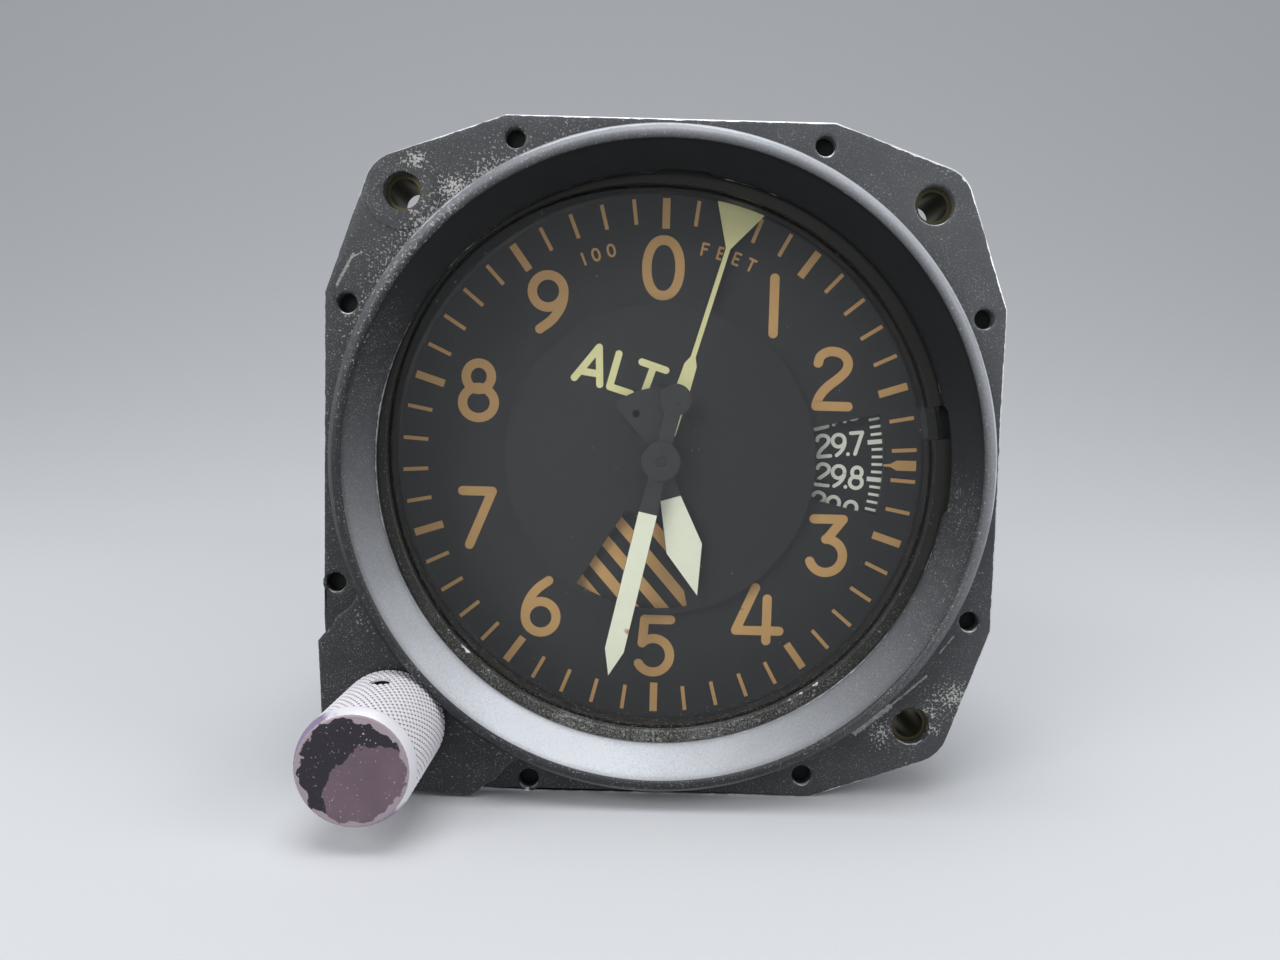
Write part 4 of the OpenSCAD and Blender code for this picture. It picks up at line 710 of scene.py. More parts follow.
def in_pad(p):
    along, aside = -(p[0] + p[1]) / math.sqrt(2), (p[0] - p[1]) / math.sqrt(2)
    return (along > 35.6 and abs(aside) < 14.85 and math.hypot(*p) > PAD_START
            and all(math.dist(p, c) > r for c, r in pad_cuts) and in_loop(p, outline))


reach = []
for clock in np.arange(196, 254.01, 0.5):
    run = []
    for p in (at_clock(d, clock) for d in np.arange(PAD_START, 60, 0.05)):
        if in_pad(p):
            run.append(p)
        elif run:
            break
    if len(run) > 14:
        reach.append((run[0], run[-1]))
pad_outline = [p for p, _ in reach] + [q for _, q in reversed(reach)]
pad = slab([pad_outline, circle(knob_place, SHAFT_R)], -2.5, 0.6, 0.3)
boss_outline = circle(mount_places[0], 4.5, 64)
boss = slab([boss_outline, circle(mount_places[0], 2.28)], -0.14, 0.5, 0.06)
print("pad:", len(pad_outline), "outline points;", len(pad[0]), "points")

# %% [markdown]
# The ring is turned from one closed profile: a straight land that fills the panel hole, a convex
# flank, a rounded crest, a cone down to the glass, the snap ring's groove and the glass's ledge. A
# cylinder makes room for the knob in its flank.

# %% Turned ring
CREST_Y, CREST_HALF, CREST_AT, LIP_R = -4.9, 0.6, 37.5, 34.4
RING_STEPS, KNOB_ROOM = 240, 6.95
CREST_OUT, CREST_IN = CREST_AT + CREST_HALF, CREST_AT - CREST_HALF
flank = [(BASE_R - (BASE_R - CREST_OUT) * (s * s * 0.7 + s * 0.3), -1.2 - 3.7 * s)
         for s in np.linspace(0, 1, 13)]
crest = [(CREST_AT + CREST_HALF * math.cos(a), CREST_Y - CREST_HALF * math.sin(a))
         for a in np.radians(range(15, 180, 15))]
cone = [(CREST_IN + (LIP_R - CREST_IN) * s, CREST_Y + 4.85 * s) for s in np.linspace(0, 1, 11)]
bore = [(LIP_R, 0.0), (LIP_R, 0.6), (35.5, 0.6), (35.5, 1.7), (LIP_R, 1.7), (LIP_R, 4.7), (33.2, 4.7),
        (33.2, 6.5), (36.65, 6.5), (36.65, 7.6), (37.2, 7.6), (37.2, 4.0)]
profile = [(BASE_R, 0.3), (BASE_R, -0.4), (BASE_R, -0.8), *flank, *crest, *cone, *bore]
NOTCH = dict(enumerate([(34.63, -0.6), (35.25, -0.58), (35.25, 0.6)], len(profile) - len(bore) - 1))
NOTCHED = [(0, 8.8), (357.5, 360), (77, 98)]
ring_verts, ring_faces = lathe(profile, RING_STEPS)
for i, (x, y, z) in enumerate(ring_verts):
    row, clock = i // RING_STEPS, 360 * (i % RING_STEPS) / RING_STEPS
    if row in NOTCH and any(start <= clock <= end for start, end in NOTCHED):
        r, y = NOTCH[row]
        x, z = at_clock(r, clock)
    away = math.dist((x, z), knob_place)
    if y < -2.5 and away < KNOB_ROOM:
        x, z = (c + (v - c) * KNOB_ROOM / away for v, c in zip((x, z), knob_place))
    ring_verts[i] = (x, y, z)

x, y, z = np.array(ring_verts).T
r, clock = np.hypot(x, z), np.degrees(np.arctan2(x, z))
light, upper_left, outside = lit(clock, 35), fall(clock + 45, 28), r > 36.91
# The crest is worn, more at the upper left, partly as a painted highlight on its top.
crest_top = (r > 37.1) * fall(y + 5.4, 0.45, 1) * (0.34 + 0.12 * fall(clock + 35, 40))
# A painted highlight along the flank's outer shoulder, strongest on the lit side.
shoulder = (r > 37.9) * fall(y + 3.9, 0.9) * 0.92 * light ** 0.6
# The lip is worn, more away from the lit side, as a painted highlight where the lower lip faces up.
lip = fall(np.hypot(r - LIP_R, y), 0.3, 1) * (0.86 - 0.24 * light)
on_cone = ((y > -5.2) & (y < 0.1) & (r < CREST_AT - 0.3)) * fall(r - 35.65, 1.5, 6)
past = clock % 360 - 203
# Low on the cone: a film of fine dust, and a painted highlight where the cone faces up.
dust_and_highlight = on_cone * fall(past, np.where(past > 0, 48, 56))
# The crest band is rubbed paler, with a painted highlight growing towards the lit side.
rubbed_and_highlight = (outside & (y < -0.9)) * 0.6 * light ** 2 * (0.2 + 0.8 * np.clip((r - 36.9) / 1.3, 0, 1))
foot = fall(r - BASE_R, 0.8, 1) * fall(y, 1.4, 1)
ring_masks = np.stack([
    np.max([crest_top, shoulder, lip], axis=0),
    np.minimum(1, foot * (0.25 + 0.75 * upper_left) + 0.45 * upper_left * fall(r - 37.6, 0.8, 1)),
    np.max([dust_and_highlight, rubbed_and_highlight, (outside & (y < 0.5)) * 0.02], axis=0)], 1)


def joined(parts):
    verts, faces = [], []
    for more, more_faces, _ in parts:
        faces += [[i + len(verts) for i in face] for face in more_faces]
        verts += more
    masks = np.concatenate([m for _, _, m in parts])
    return verts, faces, dict(zip(("edge", "dust", "film_and_sheen"), masks.T))


verts, faces, masks = joined([
    (*plate, plate_masks), (*pad, flange_masks(pad[0], pad_outline, [(knob_place, SHAFT_R)], 0.8)),
    (*boss, flange_masks(boss[0], boss_outline, rims, 0.68)), (ring_verts, ring_faces, ring_masks)])
casting = build("bezel_casting", verts, faces, casting_paint, "housing", "black_paint", masks)
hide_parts("bezel")

# %% [markdown]
# The snap ring that holds the glass is a flat spring with a gap at the right. It isn't quite round:
# at the upper left it nearly disappears behind the lip. Its inner edge is worn bright on the lower
# side, a painted highlight where it faces up, and the lower side gets a faint pale film with dust
# specks and painted sheen.

# %% Snap ring
SPRING_STEPS, SPRING_R = 200, 35.35
front, rear = (end.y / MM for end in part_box("snap_ring"))
spring_verts, spring_edge, spring_film_and_sheen = [], [], []
for k in range(SPRING_STEPS + 1):
    clock = 83.6 + (353.1 * k) / SPRING_STEPS
    inner = 33.0 + 1.25 * fall(clock - 315, 38)
    # The lower, upward-facing side is painted as lit.
    low = lit(clock, 180)
    section = [(inner + 0.12, front), (inner, front + 0.12), (inner, rear)]
    for r, y in [(SPRING_R, front), *section, (SPRING_R, rear)]:
        x, z = at_clock(r, clock)
        spring_verts.append((x, y, z))
        spring_edge.append(0.64 * low if r < inner + 0.2 and y < front + 0.2 else 0)
        spring_film_and_sheen.append(0.022 * low ** 2)
spring_faces = [[5 * k + i, 5 * k + (i + 1) % 5, 5 * k + 5 + (i + 1) % 5, 5 * k + 5 + i]
                for k in range(SPRING_STEPS) for i in range(5)]
spring_faces += [list(range(5)), list(range(5 * SPRING_STEPS, 5 * SPRING_STEPS + 5))]
spring_paint = painted("spring_black", srgb(34, 34, 30), 0.45, 0.5, 0.36)
snap_ring = build("snap_ring_spring", spring_verts, spring_faces, spring_paint, "housing", "black_ring",
                  {"edge": spring_edge, "film_and_sheen": spring_film_and_sheen})
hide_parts("snap_ring")

# %% [markdown]
# The knob's grip is a diamond knurl: two families of slanted grooves, one to the left and one to the
# right, that leave rows of small pyramids. Geometry Nodes press them into the smooth turned knob: a
# point's angle and depth give its place in both families, and the nearer groove sets how deep it
# sinks.

# %% Knurled knob
KNOB_R, KNOB_FRONT, KNOB_BACK, TEETH, PERIODS, POINTS = 6.45, -18.0, -3.0, 52, 12, 8
GRIP_FRONT, GRIP_BACK, KNOB_X, KNOB_Z = KNOB_FRONT + 1.3, KNOB_BACK - 0.5, -KNOB_AT * MM, -KNOB_AT * MM


def geometry_group(name, inputs):
    return group(name, "GeometryNodeTree", "Geometry", {"Geometry": SHAPE, **inputs})


def made_real(piece):
    bpy.context.view_layer.update()
    deps = bpy.context.evaluated_depsgraph_get()
    ready = piece.evaluated_get(deps)
    mesh = bpy.data.meshes.new_from_object(ready, preserve_all_data_layers=True, depsgraph=deps)
    piece.modifiers.clear()
    piece.data = mesh
    print(piece.name, "has", len(mesh.polygons), "faces")


def run_tree(piece, made, values):
    layer = piece.modifiers.new(made.name, "NODES")
    layer.node_group = made
    sockets = {s.name: s.identifier for s in made.interface.items_tree if s.in_out == "INPUT"}
    for key, value in values.items():
        layer[sockets[key]] = value
    made_real(piece)


knurl, k_in, k_out = geometry_group("knurl", {
    "Teeth": float(TEETH), "Periods": float(PERIODS), "Depth": 0.00018, "Front": GRIP_FRONT * MM,
    "Length": (GRIP_BACK - GRIP_FRONT) * MM, "Centre X": KNOB_X, "Centre Z": KNOB_Z})
x, y, z = axes(add(knurl, "GeometryNodeInputPosition"))
x, z = x - k_in["Centre X"], z - k_in["Centre Z"]
around = maths("ARCTAN2", x, z) / (2 * math.pi) * k_in["Teeth"]
share = (y - k_in["Front"]) / k_in["Length"]
along = share * k_in["Periods"]
to_left, to_right = (maths("MULTIPLY", maths("PINGPONG", turn, 0.5) * 2.0, 1.7, clamp=True)
                     for turn in (around + along, around - along))
valley = 1.0 - maths("MINIMUM", to_left, to_right)
crossing = 1.0 - (to_left + to_right) * 0.5
on_grip = maths("GREATER_THAN", share, 0.002) * maths("LESS_THAN", share, 0.998)
on_side = maths("GREATER_THAN", hypot(x, z), 0.0063)
inward = valley * (on_grip * on_side) * k_in["Depth"] / (-KNOB_R * MM)
offset = add(knurl, "ShaderNodeCombineXYZ", {"X": x * inward, "Z": z * inward})
pressed = add(knurl, "GeometryNodeSetPosition", {"Geometry": k_in["Geometry"], "Offset": offset})
stored = {"Name": "groove", "Geometry": pressed, "Value": crossing}
feed(k_out, {"Geometry": add(knurl, "GeometryNodeStoreNamedAttribute", stored, data_type="FLOAT")})

# %% [markdown]
# The knob was anodised black and has faded to purple. The knurl is worn to silver, and its grooves
# are dark: anodise left in the recesses, and painted shade on the sides of the pyramids. The front
# face keeps a black patch at the upper left, the outside of a large ragged circle, and pale flakes
# line its rim. The set screw's hole is drilled last.

# %% Knob finish
SCREW_Y = -7.8


def distance_from(x, z, cx, cz):
    return hypot(x - cx * MM, z - cz * MM)


knob_paint, tree, shader = material("knob_anodise", srgb(150, 140, 155), 0.35, 0.9)
x, y, z = axes(coordinates(tree))
x, z = x - KNOB_X, z - KNOB_Z
from_axis = hypot(x, z)
black_patch = step(distance_from(x, z, 2.55, -2.5) + jitter(tree, 520, 4, 0.0028), 0.00525, 0.00531)
flaked = step(from_axis + jitter(tree, 380, 3, 0.0034), 0.00545, 0.00555)
on_face = step(y, -0.01785, -0.0179)
on_chamfer = (1.0 - on_face) * step(y + jitter(tree, 700, 1, 0.0011), -0.0164, -0.01655)
face = blend_colour(clouds(tree, 300.0), srgb(96, 78, 88), srgb(116, 97, 108))
face = blend_colour(black_patch, face, srgb(44, 38, 49))
face = blend_colour(flaked, face, srgb(158, 144, 150))
face = blend_colour(specked(tree, 3400.0, 0.22), face, srgb(180, 172, 178))
# The chamfer turns pale silver towards the upper right.
paler_to_upper_right = step(x * 75.0 + z * 75.0 + noise(tree, 190, 3), 0.62, 0.78)
lilac = blend_colour(paler_to_upper_right, srgb(148, 130, 160), srgb(236, 232, 238))
# Dark grooves: anodise left in the recesses, and painted shade on the pyramids' sides.
grip = blend_colour(step(attribute(tree, "groove"), 0.4, 0.7), srgb(250, 246, 250), srgb(62, 50, 62))
in_hole = (maths("LESS_THAN", distance_from(x, y, 0, SCREW_Y), 0.00125)
           * maths("LESS_THAN", from_axis, 0.0061))
grip = blend_colour(in_hole, grip, srgb(34, 30, 34))
feed(shader, {"Base Color": blend_colour(on_face, blend_colour(on_chamfer, grip, lilac), face),
              "Metallic": blend_value(on_face, 0.22, 0.1),
              "Roughness": blend_value(on_face, clouds(tree, 200.0, 0.3, 0.45), 0.42)})
grainy(shader, 2600.0, 0.5, 0.012, 0.5)

FACE = [(0, 0), (1.5, 0), (3.2, 0), (4.6, 0), (5.45, 0), (5.6, 0.03), (5.75, 0.02), (5.95, 0.14),
        (6.25, 0.7), (6.41, 1.2)]
side = [(KNOB_R, y) for y in np.linspace(GRIP_FRONT, GRIP_BACK, PERIODS * POINTS + 1)]
rear = [(KNOB_R - 0.2, KNOB_BACK - 0.15), (KNOB_R - 0.5, KNOB_BACK), (1.7, KNOB_BACK), (1.7, -14), (0, -14)]
knob_profile = [(r, KNOB_FRONT + y) for r, y in FACE] + side + rear
knob = shaped("knob_knurled", *lathe(knob_profile, TEETH * POINTS, knob_place), knob_paint, smooth=28)
run_tree(knob, knurl, {})
drill_verts, drill_faces = lathe([(0, 0), (1.17, 0), (1.17, 5.2), (0, 5.2)], 32)
drill_verts = [(x + knob_place[0], z + SCREW_Y, y + knob_place[1] + 1.75) for x, y, z in drill_verts]
drill = link("drill", closed_mesh("drill", drill_verts, drill_faces))
hole = knob.modifiers.new("hole", "BOOLEAN")
hole.operation, hole.solver, hole.object = "DIFFERENCE", "EXACT", drill
made_real(knob)
bpy.data.objects.remove(drill)
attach(knob, "knob")
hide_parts("setting_knob")

# %% [markdown]
# The dial's numerals are engraved with a round-ended cutter, so each is a path with one width. A
# stroke's outline is one side of the path, a round end, the other side and a round end again. At a
# corner the outer side is an arc, and the inner side the point where both edges cross. A ring has an
# outer and an inner wall.

# %% Strokes
PRINT_THICK, CAP = 0.05, 3.6


def arc(cx, cz, rx, rz, start, end, steps=24):
    angles = [math.radians(start + (end - start) * i / steps) for i in range(steps + 1)]
    return [(cx + rx * math.cos(a), cz + rz * math.sin(a)) for a in angles]


def smooth_path(points, steps=6):
    p = [np.array(q, float) for q in points]
    p = [2 * p[0] - p[1], *p, 2 * p[-1] - p[-2]]
    out = []
    for a, b, c, d in zip(p, p[1:], p[2:], p[3:]):
        square, cube = 2 * a - 5 * b + 4 * c - d, 3 * b - a - 3 * c + d
        out += [tuple(0.5 * (2 * b + (c - a) * t + square * t ** 2 + cube * t ** 3))
                for t in np.linspace(0, 1, steps, endpoint=False)]
    return out + [tuple(p[-2])]


def squared(value):
    return math.copysign(abs(value) ** 0.92, value)


bowl = arc(0, -1.4, 2.08, 2.1, 0, 345, 23)
tail = smooth_path([(-2.08, -1.4), (-1.98, -0.2), (-1.45, 1.15), (-0.45, 2.45), (1.0, 3.55)])
swan = smooth_path([(-2.0, 2.05), (-1.7, 2.95), (-0.8, 3.52), (0.25, 3.58), (1.35, 3.15), (1.95, 2.2),
                    (1.7, 1.1), (0.7, 0.05), (-0.65, -1.05), (-1.6, -2.2), (-2.0, -3.2)])
RINGS = {
    "0": [[(2.18 * squared(math.cos(a)), CAP * squared(math.sin(a))) for a in np.radians(range(0, 360, 9))]],
    "6": [bowl],
    "8": [arc(0, 1.85, 1.68, 1.75, 0, 345, 23), arc(0, -1.6, 2.12, 2.0, 0, 345, 23)],
    "9": [[(-x, -z) for x, z in bowl]],
}
LINES = {
    "1": [[(0, CAP), (0, -CAP)]],
    "2": [swan + [(-2.1, -CAP), (2.15, -CAP)]],
    "3": [[(-2.0, CAP), (1.9, CAP), (-0.2, 0.9)], arc(-0.25, -1.35, 2.25, 2.25, 92, -160)],
    "4": [[(-0.44, CAP), (-2.95, -2.25), (2.9, -2.25)], [(1.18, 2.1), (1.18, -CAP)]],
    "5": [[(1.9, CAP), (-1.6, CAP), (-1.85, 0.35)], arc(-0.35, -1.3, 2.25, 2.3, 133, -150)],
    "6": [tail],
    "7": [[(-1.95, CAP), (2.0, CAP), (-0.95, -CAP)]],
    "9": [[(-x, -z) for x, z in tail]],
    ".": [[(0, -3.5), (0, -3.45)]],
    "F": [[(-1.7, -CAP), (-1.7, CAP), (1.9, CAP)], [(-1.7, 0.3), (1.2, 0.3)]],
    "E": [[(1.9, -CAP), (-1.7, -CAP), (-1.7, CAP), (1.9, CAP)], [(-1.7, 0.1), (1.2, 0.1)]],
    "T": [[(-2.2, CAP), (2.2, CAP)], [(0, CAP), (0, -CAP)]],
}


def extrude(loop, y, thick, store):
    verts, faces = store
    base, m = len(verts), len(loop)
    verts += [(x, level, z) for level in (y, y + thick) for x, z in loop]
    faces += [[base + i for i in range(m)], [base + m + i for i in reversed(range(m))]]
    faces += [[base + i, base + (i + 1) % m, base + m + (i + 1) % m, base + m + i] for i in range(m)]


def ring_stroke(path, width, y, thick, store):
    verts, faces = store
    base, m, p = len(verts), len(path), np.array(path)
    t = np.roll(p, -1, axis=0) - np.roll(p, 1, axis=0)
    t /= np.linalg.norm(t, axis=1)[:, None]
    out = np.stack([-t[:, 1], t[:, 0]], axis=1) * (width / 2)
    verts += [(x, level, z) for level in (y, y + thick) for wall in (p + out, p - out) for x, z in wall]
    faces += [[base + a + i, base + a + (i + 1) % m, base + b + (i + 1) % m, base + b + i]
              for i in range(m) for a, b in ((0, m), (2 * m, 3 * m), (0, 2 * m), (m, 3 * m))]


def bend(p, start, turn, half):
    steps = max(1, int(abs(turn) / math.radians(15)))
    angles = [start + turn * k / steps for k in range(steps + 1)]
    return [(p[0] + half * math.cos(a), p[1] + half * math.sin(a)) for a in angles]


def line_stroke(p, width, y, thick, store):
    half, quarter = width / 2, math.pi / 2
    heading = [math.atan2(b[1] - a[1], b[0] - a[0]) for a, b in zip(p, p[1:])]
    left, right = [], []
    for q, h0, h1 in zip(p[1:-1], heading, heading[1:]):
        turn = (h1 - h0 + math.pi) % (2 * math.pi) - math.pi
        middle = h0 + turn / 2 + quarter
        reach = math.copysign(half / math.cos(turn / 2), turn)
        inside, outside = (left, right) if turn > 0 else (right, left)
        inside.append((q[0] + reach * math.cos(middle), q[1] + reach * math.sin(middle)))
        outside.extend(bend(q, h0 - math.copysign(quarter, turn), turn, half))
    far = bend(p[-1], heading[-1] + quarter, -math.pi, half)
    near = bend(p[0], heading[0] - quarter, -math.pi, half)
    extrude(far + right[::-1] + near + left, y, thick, store)


def write(letter, centre, half_height, width, y, store, lean=0.0):
    scale = half_height / CAP
    rings, lines = RINGS.get(letter, []), LINES.get(letter, [])
    for k, path in enumerate(rings + lines):
        draw = ring_stroke if k < len(rings) else line_stroke
        moved = [(centre[0] + x * scale, centre[1] + z * scale) for x, z in turned(path, lean)]
        draw(moved, width, y - 0.004 * k, PRINT_THICK, store)


# %% [markdown]
# Print and lume are slightly uneven coats: the colour drifts a little, and the surface is matt.
# The old lume has yellowed in places and shows one small rust spot on the long pointer.

# %% Print and lume


def coat(name, colour, roughness, drift, spots=0.0, rust_at=None):
    made, tree, shader = material(name, colour, roughness)
    base = blend_colour(clouds(tree, 420.0), shade(colour, 1 - drift), shade(colour, 1 + drift))
    if spots:
        base = blend_colour(specked(tree, 1900.0, spots), base, srgb(120, 96, 62))
    if rust_at:
        x, _, z = axes(coordinates(tree))
        away = distance_from(x, z, *rust_at) + jitter(tree, 1900, 3, 0.0007)
        base = blend_colour((1.0 - step(away, 0.0002, 0.00055)) * 0.8, base, srgb(160, 108, 62))
    feed(shader, {"Base Color": base, "Roughness": clouds(tree, 500.0, roughness - 0.1, roughness + 0.1)})
    grainy(shader, 3800.0, 0.6, 0.012, 0.5)
    return made


tan_print = coat("tan_print", srgb(202, 158, 96), 0.6, 0.08)
pale_print = coat("pale_print", srgb(234, 238, 222), 0.6, 0.08)
lume = coat("lume", srgb(228, 231, 206), 0.62, 0.05, 0.05, (-3.64, -22.1))
aged_lume = coat("lume_aged", srgb(230, 226, 164), 0.62, 0.07, 0.04)
print("coats ready")

# %% [markdown]
# Each numeral has its own place, because they don't stand on one circle. The words beside the 0
# follow a circle, every letter along its own radius.

# %% Numerals
DIAL_Y, PRINT_RISE = 13.0, 0.04
NUMERALS = [(-0.2, 25.3), (14.55, 20.7), (22.7, 11.3), (22.95, -11.05), (13.85, -20.6),
            (0.15, -25.3), (-15.55, -20.3), (-24.35, -8.45), (-24.35, 8.6), (-15.35, 20.5)]
store = ([], [])
for digit, centre in enumerate(NUMERALS):
    write(str(digit), centre, 3.62, 1.24, DIAL_Y - PRINT_RISE, store)
for letter, clock in zip("100FEET", (337.7, 341.2, 345.4, 10.6, 15.0, 19.4, 23.6)):
    write(letter, at_clock(28.3, clock), 0.74, 0.3, DIAL_Y - PRINT_RISE, store, (clock + 180) % 360 - 180)
build("dial_numerals", *store, tan_print, "housing", "dial_black")

# %% [markdown]
# Fifty ticks stand round the dial, every fifth one long. Geometry Nodes give each point of a line an
# angle from its index, and a bar turned to that angle. The same tree draws the barometric scale,
# whose ticks stand 2 degrees apart.

# %% Ticks
REST_INHG, LOWEST_INHG, DISC_Y = 29.76, 28.10, 14.8
EVERY = 1000


def combined(tree, **values):
    return add(tree, "ShaderNodeCombineXYZ", values)


def copies(tree, points, shape, finish, **settings):
    placed = add(tree, "GeometryNodeInstanceOnPoints", {"Points": points, "Instance": shape, **settings})
    real = add(tree, "GeometryNodeRealizeInstances", {0: placed})
    return add(tree, "GeometryNodeSetMaterial", {"Geometry": real, "Material": finish})


ticks, t_in, t_out = geometry_group("ticks", {
    "Count": 50, "First": 0.0, "Step": 0.1, "Middle": 0.03, "Front": 0.0, "Width": 0.0005, "Length": 0.003,
    "Thickness": 0.00005, "Skip": 1000, "Finish": FINISH})
index = add(ticks, "GeometryNodeInputIndex")
angle = t_in["First"] + index * t_in["Step"]
spot = combined(ticks, X=maths("SINE", angle) * t_in["Middle"], Y=t_in["Front"],
                Z=maths("COSINE", angle) * t_in["Middle"])
row = add(ticks, "GeometryNodeMeshLine", {"Count": t_in["Count"]})
points = add(ticks, "GeometryNodeSetPosition", {"Geometry": row, "Position": spot})
size = combined(ticks, X=t_in["Width"], Y=t_in["Thickness"], Z=t_in["Length"])
bar = add(ticks, "GeometryNodeMeshCube", {"Size": size})
kept = maths("GREATER_THAN", maths("MODULO", index, t_in["Skip"]), 0.5)
ring = copies(ticks, points, bar, t_in["Finish"], Rotation=combined(ticks, Y=angle), Selection=kept)
feed(t_out, {"Geometry": ring})


def tick_ring(name, count, first, step_deg, outer, length, width, front, skip, finish, body):
    piece = link(name, bpy.data.meshes.new(name))
    run_tree(piece, ticks, {
        "Count": count, "First": math.radians(first), "Step": math.radians(step_deg), "Front": front * MM,
        "Middle": (outer - length / 2) * MM, "Width": width * MM, "Length": length * MM,
        "Thickness": PRINT_THICK * MM, "Skip": skip, "Finish": finish})
    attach(piece, body)


def baro_clock(inches):
    return 90 + (inches - REST_INHG) * 100


first, dial_front, scale_front = baro_clock(LOWEST_INHG), DIAL_Y - 0.02, DISC_Y - 0.02
tick_ring("dial_ticks_minor", 50, 0, 7.2, 34.33, 3.3, 0.5, dial_front, 5, tan_print, "housing")
tick_ring("dial_ticks_major", 11, -36, 36, 34.33, 3.95, 1.0, dial_front, EVERY, tan_print, "housing")
tick_ring("scale_ticks_minor", 146, first, 2, 30.3, 1.5, 0.36, scale_front, 5, pale_print, "baro_scale")
tick_ring("scale_ticks_major", 31, first - 10, 10, 30.35, 2.05, 0.62, scale_front, EVERY, pale_print,
          "baro_scale")

# %% [markdown]
# The barometric disc carries the numbers 28.1 to 31.0 and turns with them. Only the number in the
# window at 3 o'clock is upright.

# %% Numbers on the barometric disc
LETTER_AT = (22.3, 24.4, 25.54, 26.88)
store = ([], [])
for tenth in range(281, 311):
    lean = baro_clock(tenth / 10) - 90
    for letter, x in zip(f"{tenth / 10:.1f}", LETTER_AT):
        write(letter, turned([(x, 0)], lean)[0], 1.42, 0.5, DISC_Y - PRINT_RISE, store, lean)
build("scale_numbers", *store, pale_print, "baro_scale", "dial_black")

# %% [markdown]
# Below 10,000 feet the sector cut out of the pointer's disc uncovers slanted bars on the dial: long
# strips that are clipped to a sector. The index at 3 o'clock is a short bar with a narrow nose.

# %% Bars and index
BAR_LEAN, BAR_HALF, BAR_PITCH, BAR_FIRST, BAR_RIM = math.radians(48.7), 0.75, 3.03, -9.57, 20.25
SECTOR = (150, 214)


def flat_shapes(name, loops, y, thick, finish, body, slot):
    store = ([], [])
    for loop in loops:
        extrude(loop, y, thick, store)
    return build(name, *store, finish, body, slot)


down_right = np.array([math.cos(BAR_LEAN), -math.sin(BAR_LEAN)])
across = np.array([math.sin(BAR_LEAN), math.cos(BAR_LEAN)])
bars = []
for k in range(-1, 4):
    middle = BAR_FIRST - BAR_PITCH * k
    strip = [tuple(across * (middle + w) + down_right * s)
             for w, s in ((-BAR_HALF, -25), (BAR_HALF, -25), (BAR_HALF, 25), (-BAR_HALF, 25))]
    for clock, sign in zip(SECTOR, (1, -1)):
        ray = at_clock(1, clock)
        strip = clip(strip, lambda p: sign * (ray[1] * p[0] - ray[0] * p[1]))
    for clock in range(SECTOR[0], 216, 6):
        ray = at_clock(1, clock)
        strip = clip(strip, lambda p: BAR_RIM - (p[0] * ray[0] + p[1] * ray[1]))
    if len(strip) > 2:
        bars.append(strip)
flat_shapes("warning_bars", bars, DIAL_Y - PRINT_RISE, PRINT_THICK, tan_print, "housing", "dial_black")
upper = [(29.9, 0.12), (30.9, 0.22), (31.7, 0.68), (34.3, 0.68)]
index_loop = upper + [(x, -z) for x, z in reversed(upper)]
flat_shapes("scale_index", [index_loop], DIAL_Y - PRINT_RISE, PRINT_THICK, tan_print, "housing", "dial_black")

# %% [markdown]
# The pointers are black sheet with a thick coat of lume that ends a hair inside their edges. Each
# coat is drawn upright, turned to its pointer's angle, and rides on that pointer.

# %% Lume on the pointers
REST_FT = 4534
HAND100_Y, HAND1000_Y, ALT_DISC_Y = 7.6, 9.6, 11.6


def lume_piece(name, loop, clock, y, finish, body, thick=0.12):
    flat_shapes(name, [turned(loop, clock)], y - thick, thick + 0.02, finish, body, "pointer_white")


hand100 = [(-1.2, 6.9), (1.2, 6.9), (1.25, 25.2), (0.0, 28.6), (-1.25, 25.2)]
lume_piece("lume_100", hand100, REST_FT % 1000 * 0.36, HAND100_Y, lume, "hand_100")
hand1000 = [(-1.36, 5.1), (1.36, 5.1), (2.4, 11.9), (0.0, 18.35), (-2.4, 11.9)]
lume_piece("lume_1000", hand1000, REST_FT * 0.036, HAND1000_Y, lume, "hand_1000")
arm = [(0.95, 3.6), (0.97, 10.0), (0.85, 13.1), (0.33, 14.2), (0.3, 28.9), (3.45, 34.8)]
hand10000 = [(-arm[0][0], arm[0][1]), *arm, *[(-x, z) for x, z in arm[:0:-1]]]
lume_piece("lume_10000", hand10000, REST_FT * 0.0036, ALT_DISC_Y, aged_lume, "hand_10000", 0.08)
store = ([], [])
LETTERS = [[(-11.55, 10.57), (-8.35, 14.6), (-8.19, 9.74)], [(-10.4, 11.4), (-8.25, 11.1)],
           [(-5.75, 13.8), (-6.89, 9.5), (-4.1, 8.65)], [(-2.71, 12.82), (0.46, 11.8)],
           [(-1.15, 12.28), (-2.2, 9.2)]]
for k, path in enumerate(LETTERS):
    line_stroke(path, 0.94, ALT_DISC_Y - 0.06 - 0.004 * (k % 2), 0.07, store)
build("disc_letters", *store, aged_lume, "hand_10000", "pointer_white")

# %% [markdown]
# Grit lies behind the ring, most of it along the lower edge of the glass. Geometry Nodes scatter
# grains on a thin band, thicker where its "dust" attribute is high. The seed is fixed, so the same
# grains come back in each run.

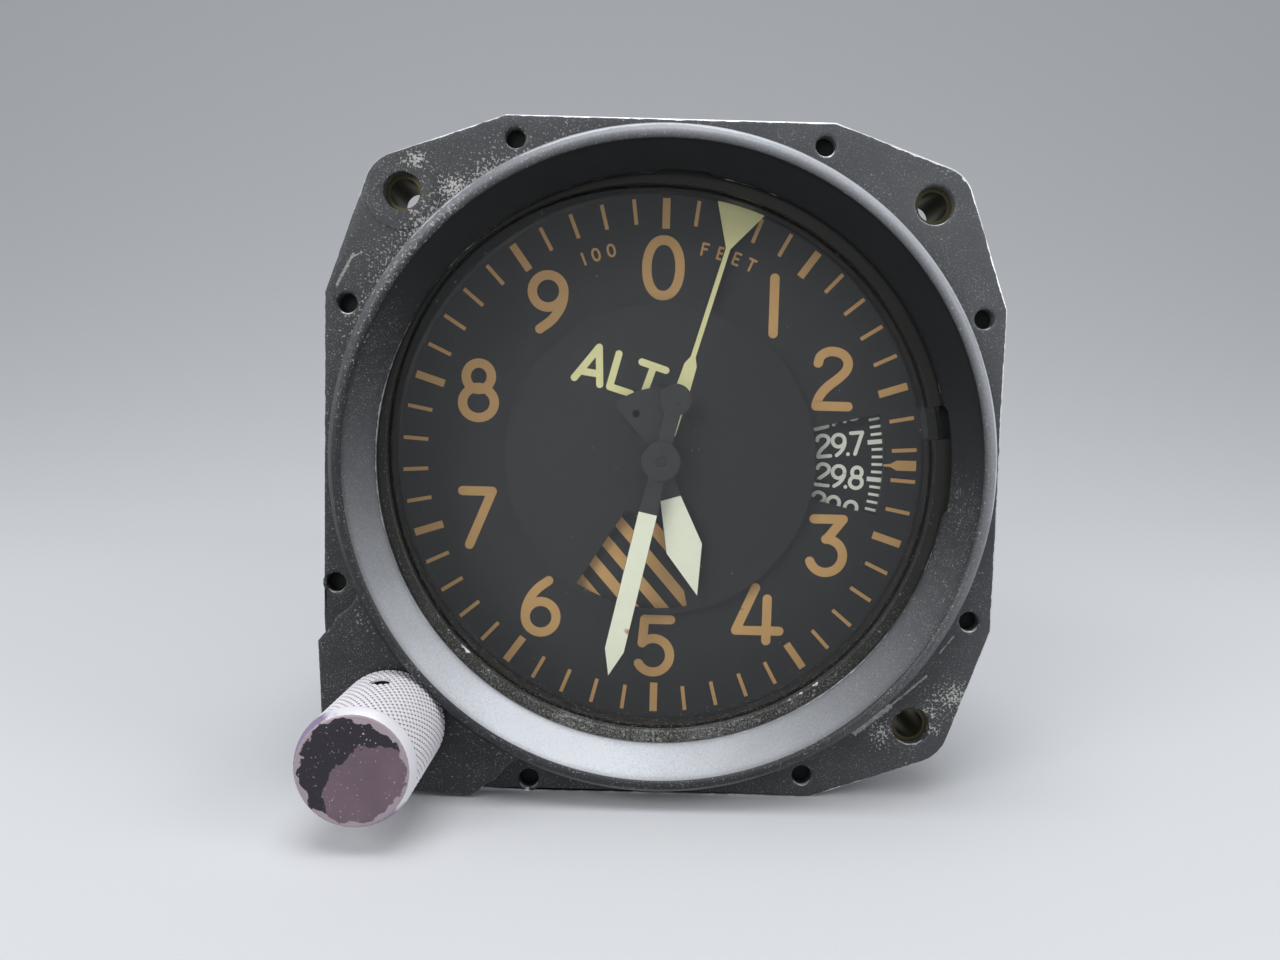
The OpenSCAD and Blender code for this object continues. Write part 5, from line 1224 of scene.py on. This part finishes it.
# %% Grit
grit, d_in, d_out = geometry_group("grit", {"Density": 1000.0, "Grain": 0.0001, "Seed": 7, "Finish": FINISH})
amount = add(grit, "GeometryNodeInputNamedAttribute", {"Name": "dust"}, data_type="FLOAT")
scatter = {"Mesh": d_in["Geometry"], "Density": amount * d_in["Density"], "Seed": d_in["Seed"]}
scattered = add(grit, "GeometryNodeDistributePointsOnFaces", scatter, "Points")
pebble = add(grit, "GeometryNodeMeshIcoSphere", {"Radius": d_in["Grain"], "Subdivisions": 1}, "Mesh")
sizes = add(grit, "FunctionNodeRandomValue", {0: (0.4, 0.3, 0.4), 1: (1.5, 0.8, 1.2), "Seed": d_in["Seed"]},
            data_type="FLOAT_VECTOR")
spin = add(grit, "FunctionNodeRandomValue", {1: (0.0, 6.28, 0.0)}, data_type="FLOAT_VECTOR")
feed(d_out, {"Geometry": copies(grit, scattered, pebble, d_in["Finish"], Scale=sizes, Rotation=spin)})
grit_finish = coat("grit", srgb(150, 142, 122), 0.9, 0.35)
BAND = 8


def low_side(clock):
    return 0.06 + 0.94 * fall(clock - 190, 55)


def all_round(clock):
    return 0.5 + 0.5 * math.sin(math.radians(clock / 2)) ** 2


def grit_band(name, r0, r1, y, clocks, strength, density, grain_mm, seed, fades):
    clocks = np.arange(clocks[0], clocks[1] + 0.1, 3.0)
    spots = [at_clock(r0 + (r1 - r0) * i / BAND, c) for c in clocks for i in range(BAND + 1)]
    n = BAND + 1
    faces = [(a * n + i, a * n + i + 1, (a + 1) * n + i + 1, (a + 1) * n + i)
             for a in range(len(clocks) - 1) for i in range(BAND)]
    mesh = bpy.data.meshes.new(name)
    mesh.from_pydata([(x * MM, y * MM, z * MM) for x, z in spots], [], faces)
    dust = [strength(c) * ((i / BAND) ** 3 if fades else 1) for c in clocks for i in range(n)]
    set_masks(mesh, {"dust": dust})
    piece = link(name, mesh)
    run_tree(piece, grit, {"Density": density, "Grain": grain_mm * MM, "Seed": seed, "Finish": grit_finish})
    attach(piece, "housing")


grit_band("grit_glass", 28.6, 33.0, 1.78, (95, 285), low_side, 1.3e7, 0.05, 7, True)
grit_band("grit_ring", 33.0, 34.35, 0.5, (95, 285), low_side, 1.2e7, 0.045, 11, False)
grit_band("grit_sparse", 2.0, 30.5, 1.78, (0, 360), all_round, 2.6e5, 0.04, 5, False)

# %% [markdown]
# The plug's fifteen contacts are small turned sleeves in the holes of its black block, copied along
# two rows by their own tree.

# %% Contacts
PLUG_FACE, PLUG_Z = 150.1 + 5.8, -14
contacts, c_in, c_out = geometry_group("contacts", {
    "Pitch": 0.00274, "Upper": 8, "Lower": 7, "Row Gap": 0.00284, "Finish": FINISH})
join = contacts.nodes.new("GeometryNodeJoinGeometry")
for count, side in ((c_in["Upper"], 0.5), (c_in["Lower"], -0.5)):
    start = combined(contacts, X=(count - 1.0) * -0.5 * c_in["Pitch"], Z=c_in["Row Gap"] * side)
    gap = combined(contacts, X=c_in["Pitch"])
    line = {"Count": count, "Start Location": start, "Offset": gap}
    feed(join, {0: add(contacts, "GeometryNodeMeshLine", line)})
feed(c_out, {"Geometry": copies(contacts, Value(join.outputs[0]), c_in["Geometry"], c_in["Finish"])})
sleeve_profile = [(0.57, -3.6), (0.57, -0.7), (0.5, -0.45), (0.36, -0.55), (0.36, -3.6)]
sleeve = shaped("plug_contacts", *lathe(sleeve_profile, 20), finishes["brass"])
run_tree(sleeve, contacts, {"Finish": finishes["brass"]})
sleeve.data.transform(Matrix.Translation((0, PLUG_FACE * MM, PLUG_Z * MM)))
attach(sleeve, "housing")

# %% [markdown]
# The capsules swell as the air grows thin and carry the stud and the link up. This piece has the
# node's own form, copied with its place baked in, and stands in for the hidden node.

# %% Capsule stack
bellows = link("capsule_bellows", nodes["capsule_stack"].data.copy())
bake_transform(bellows)
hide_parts("capsule_stack")
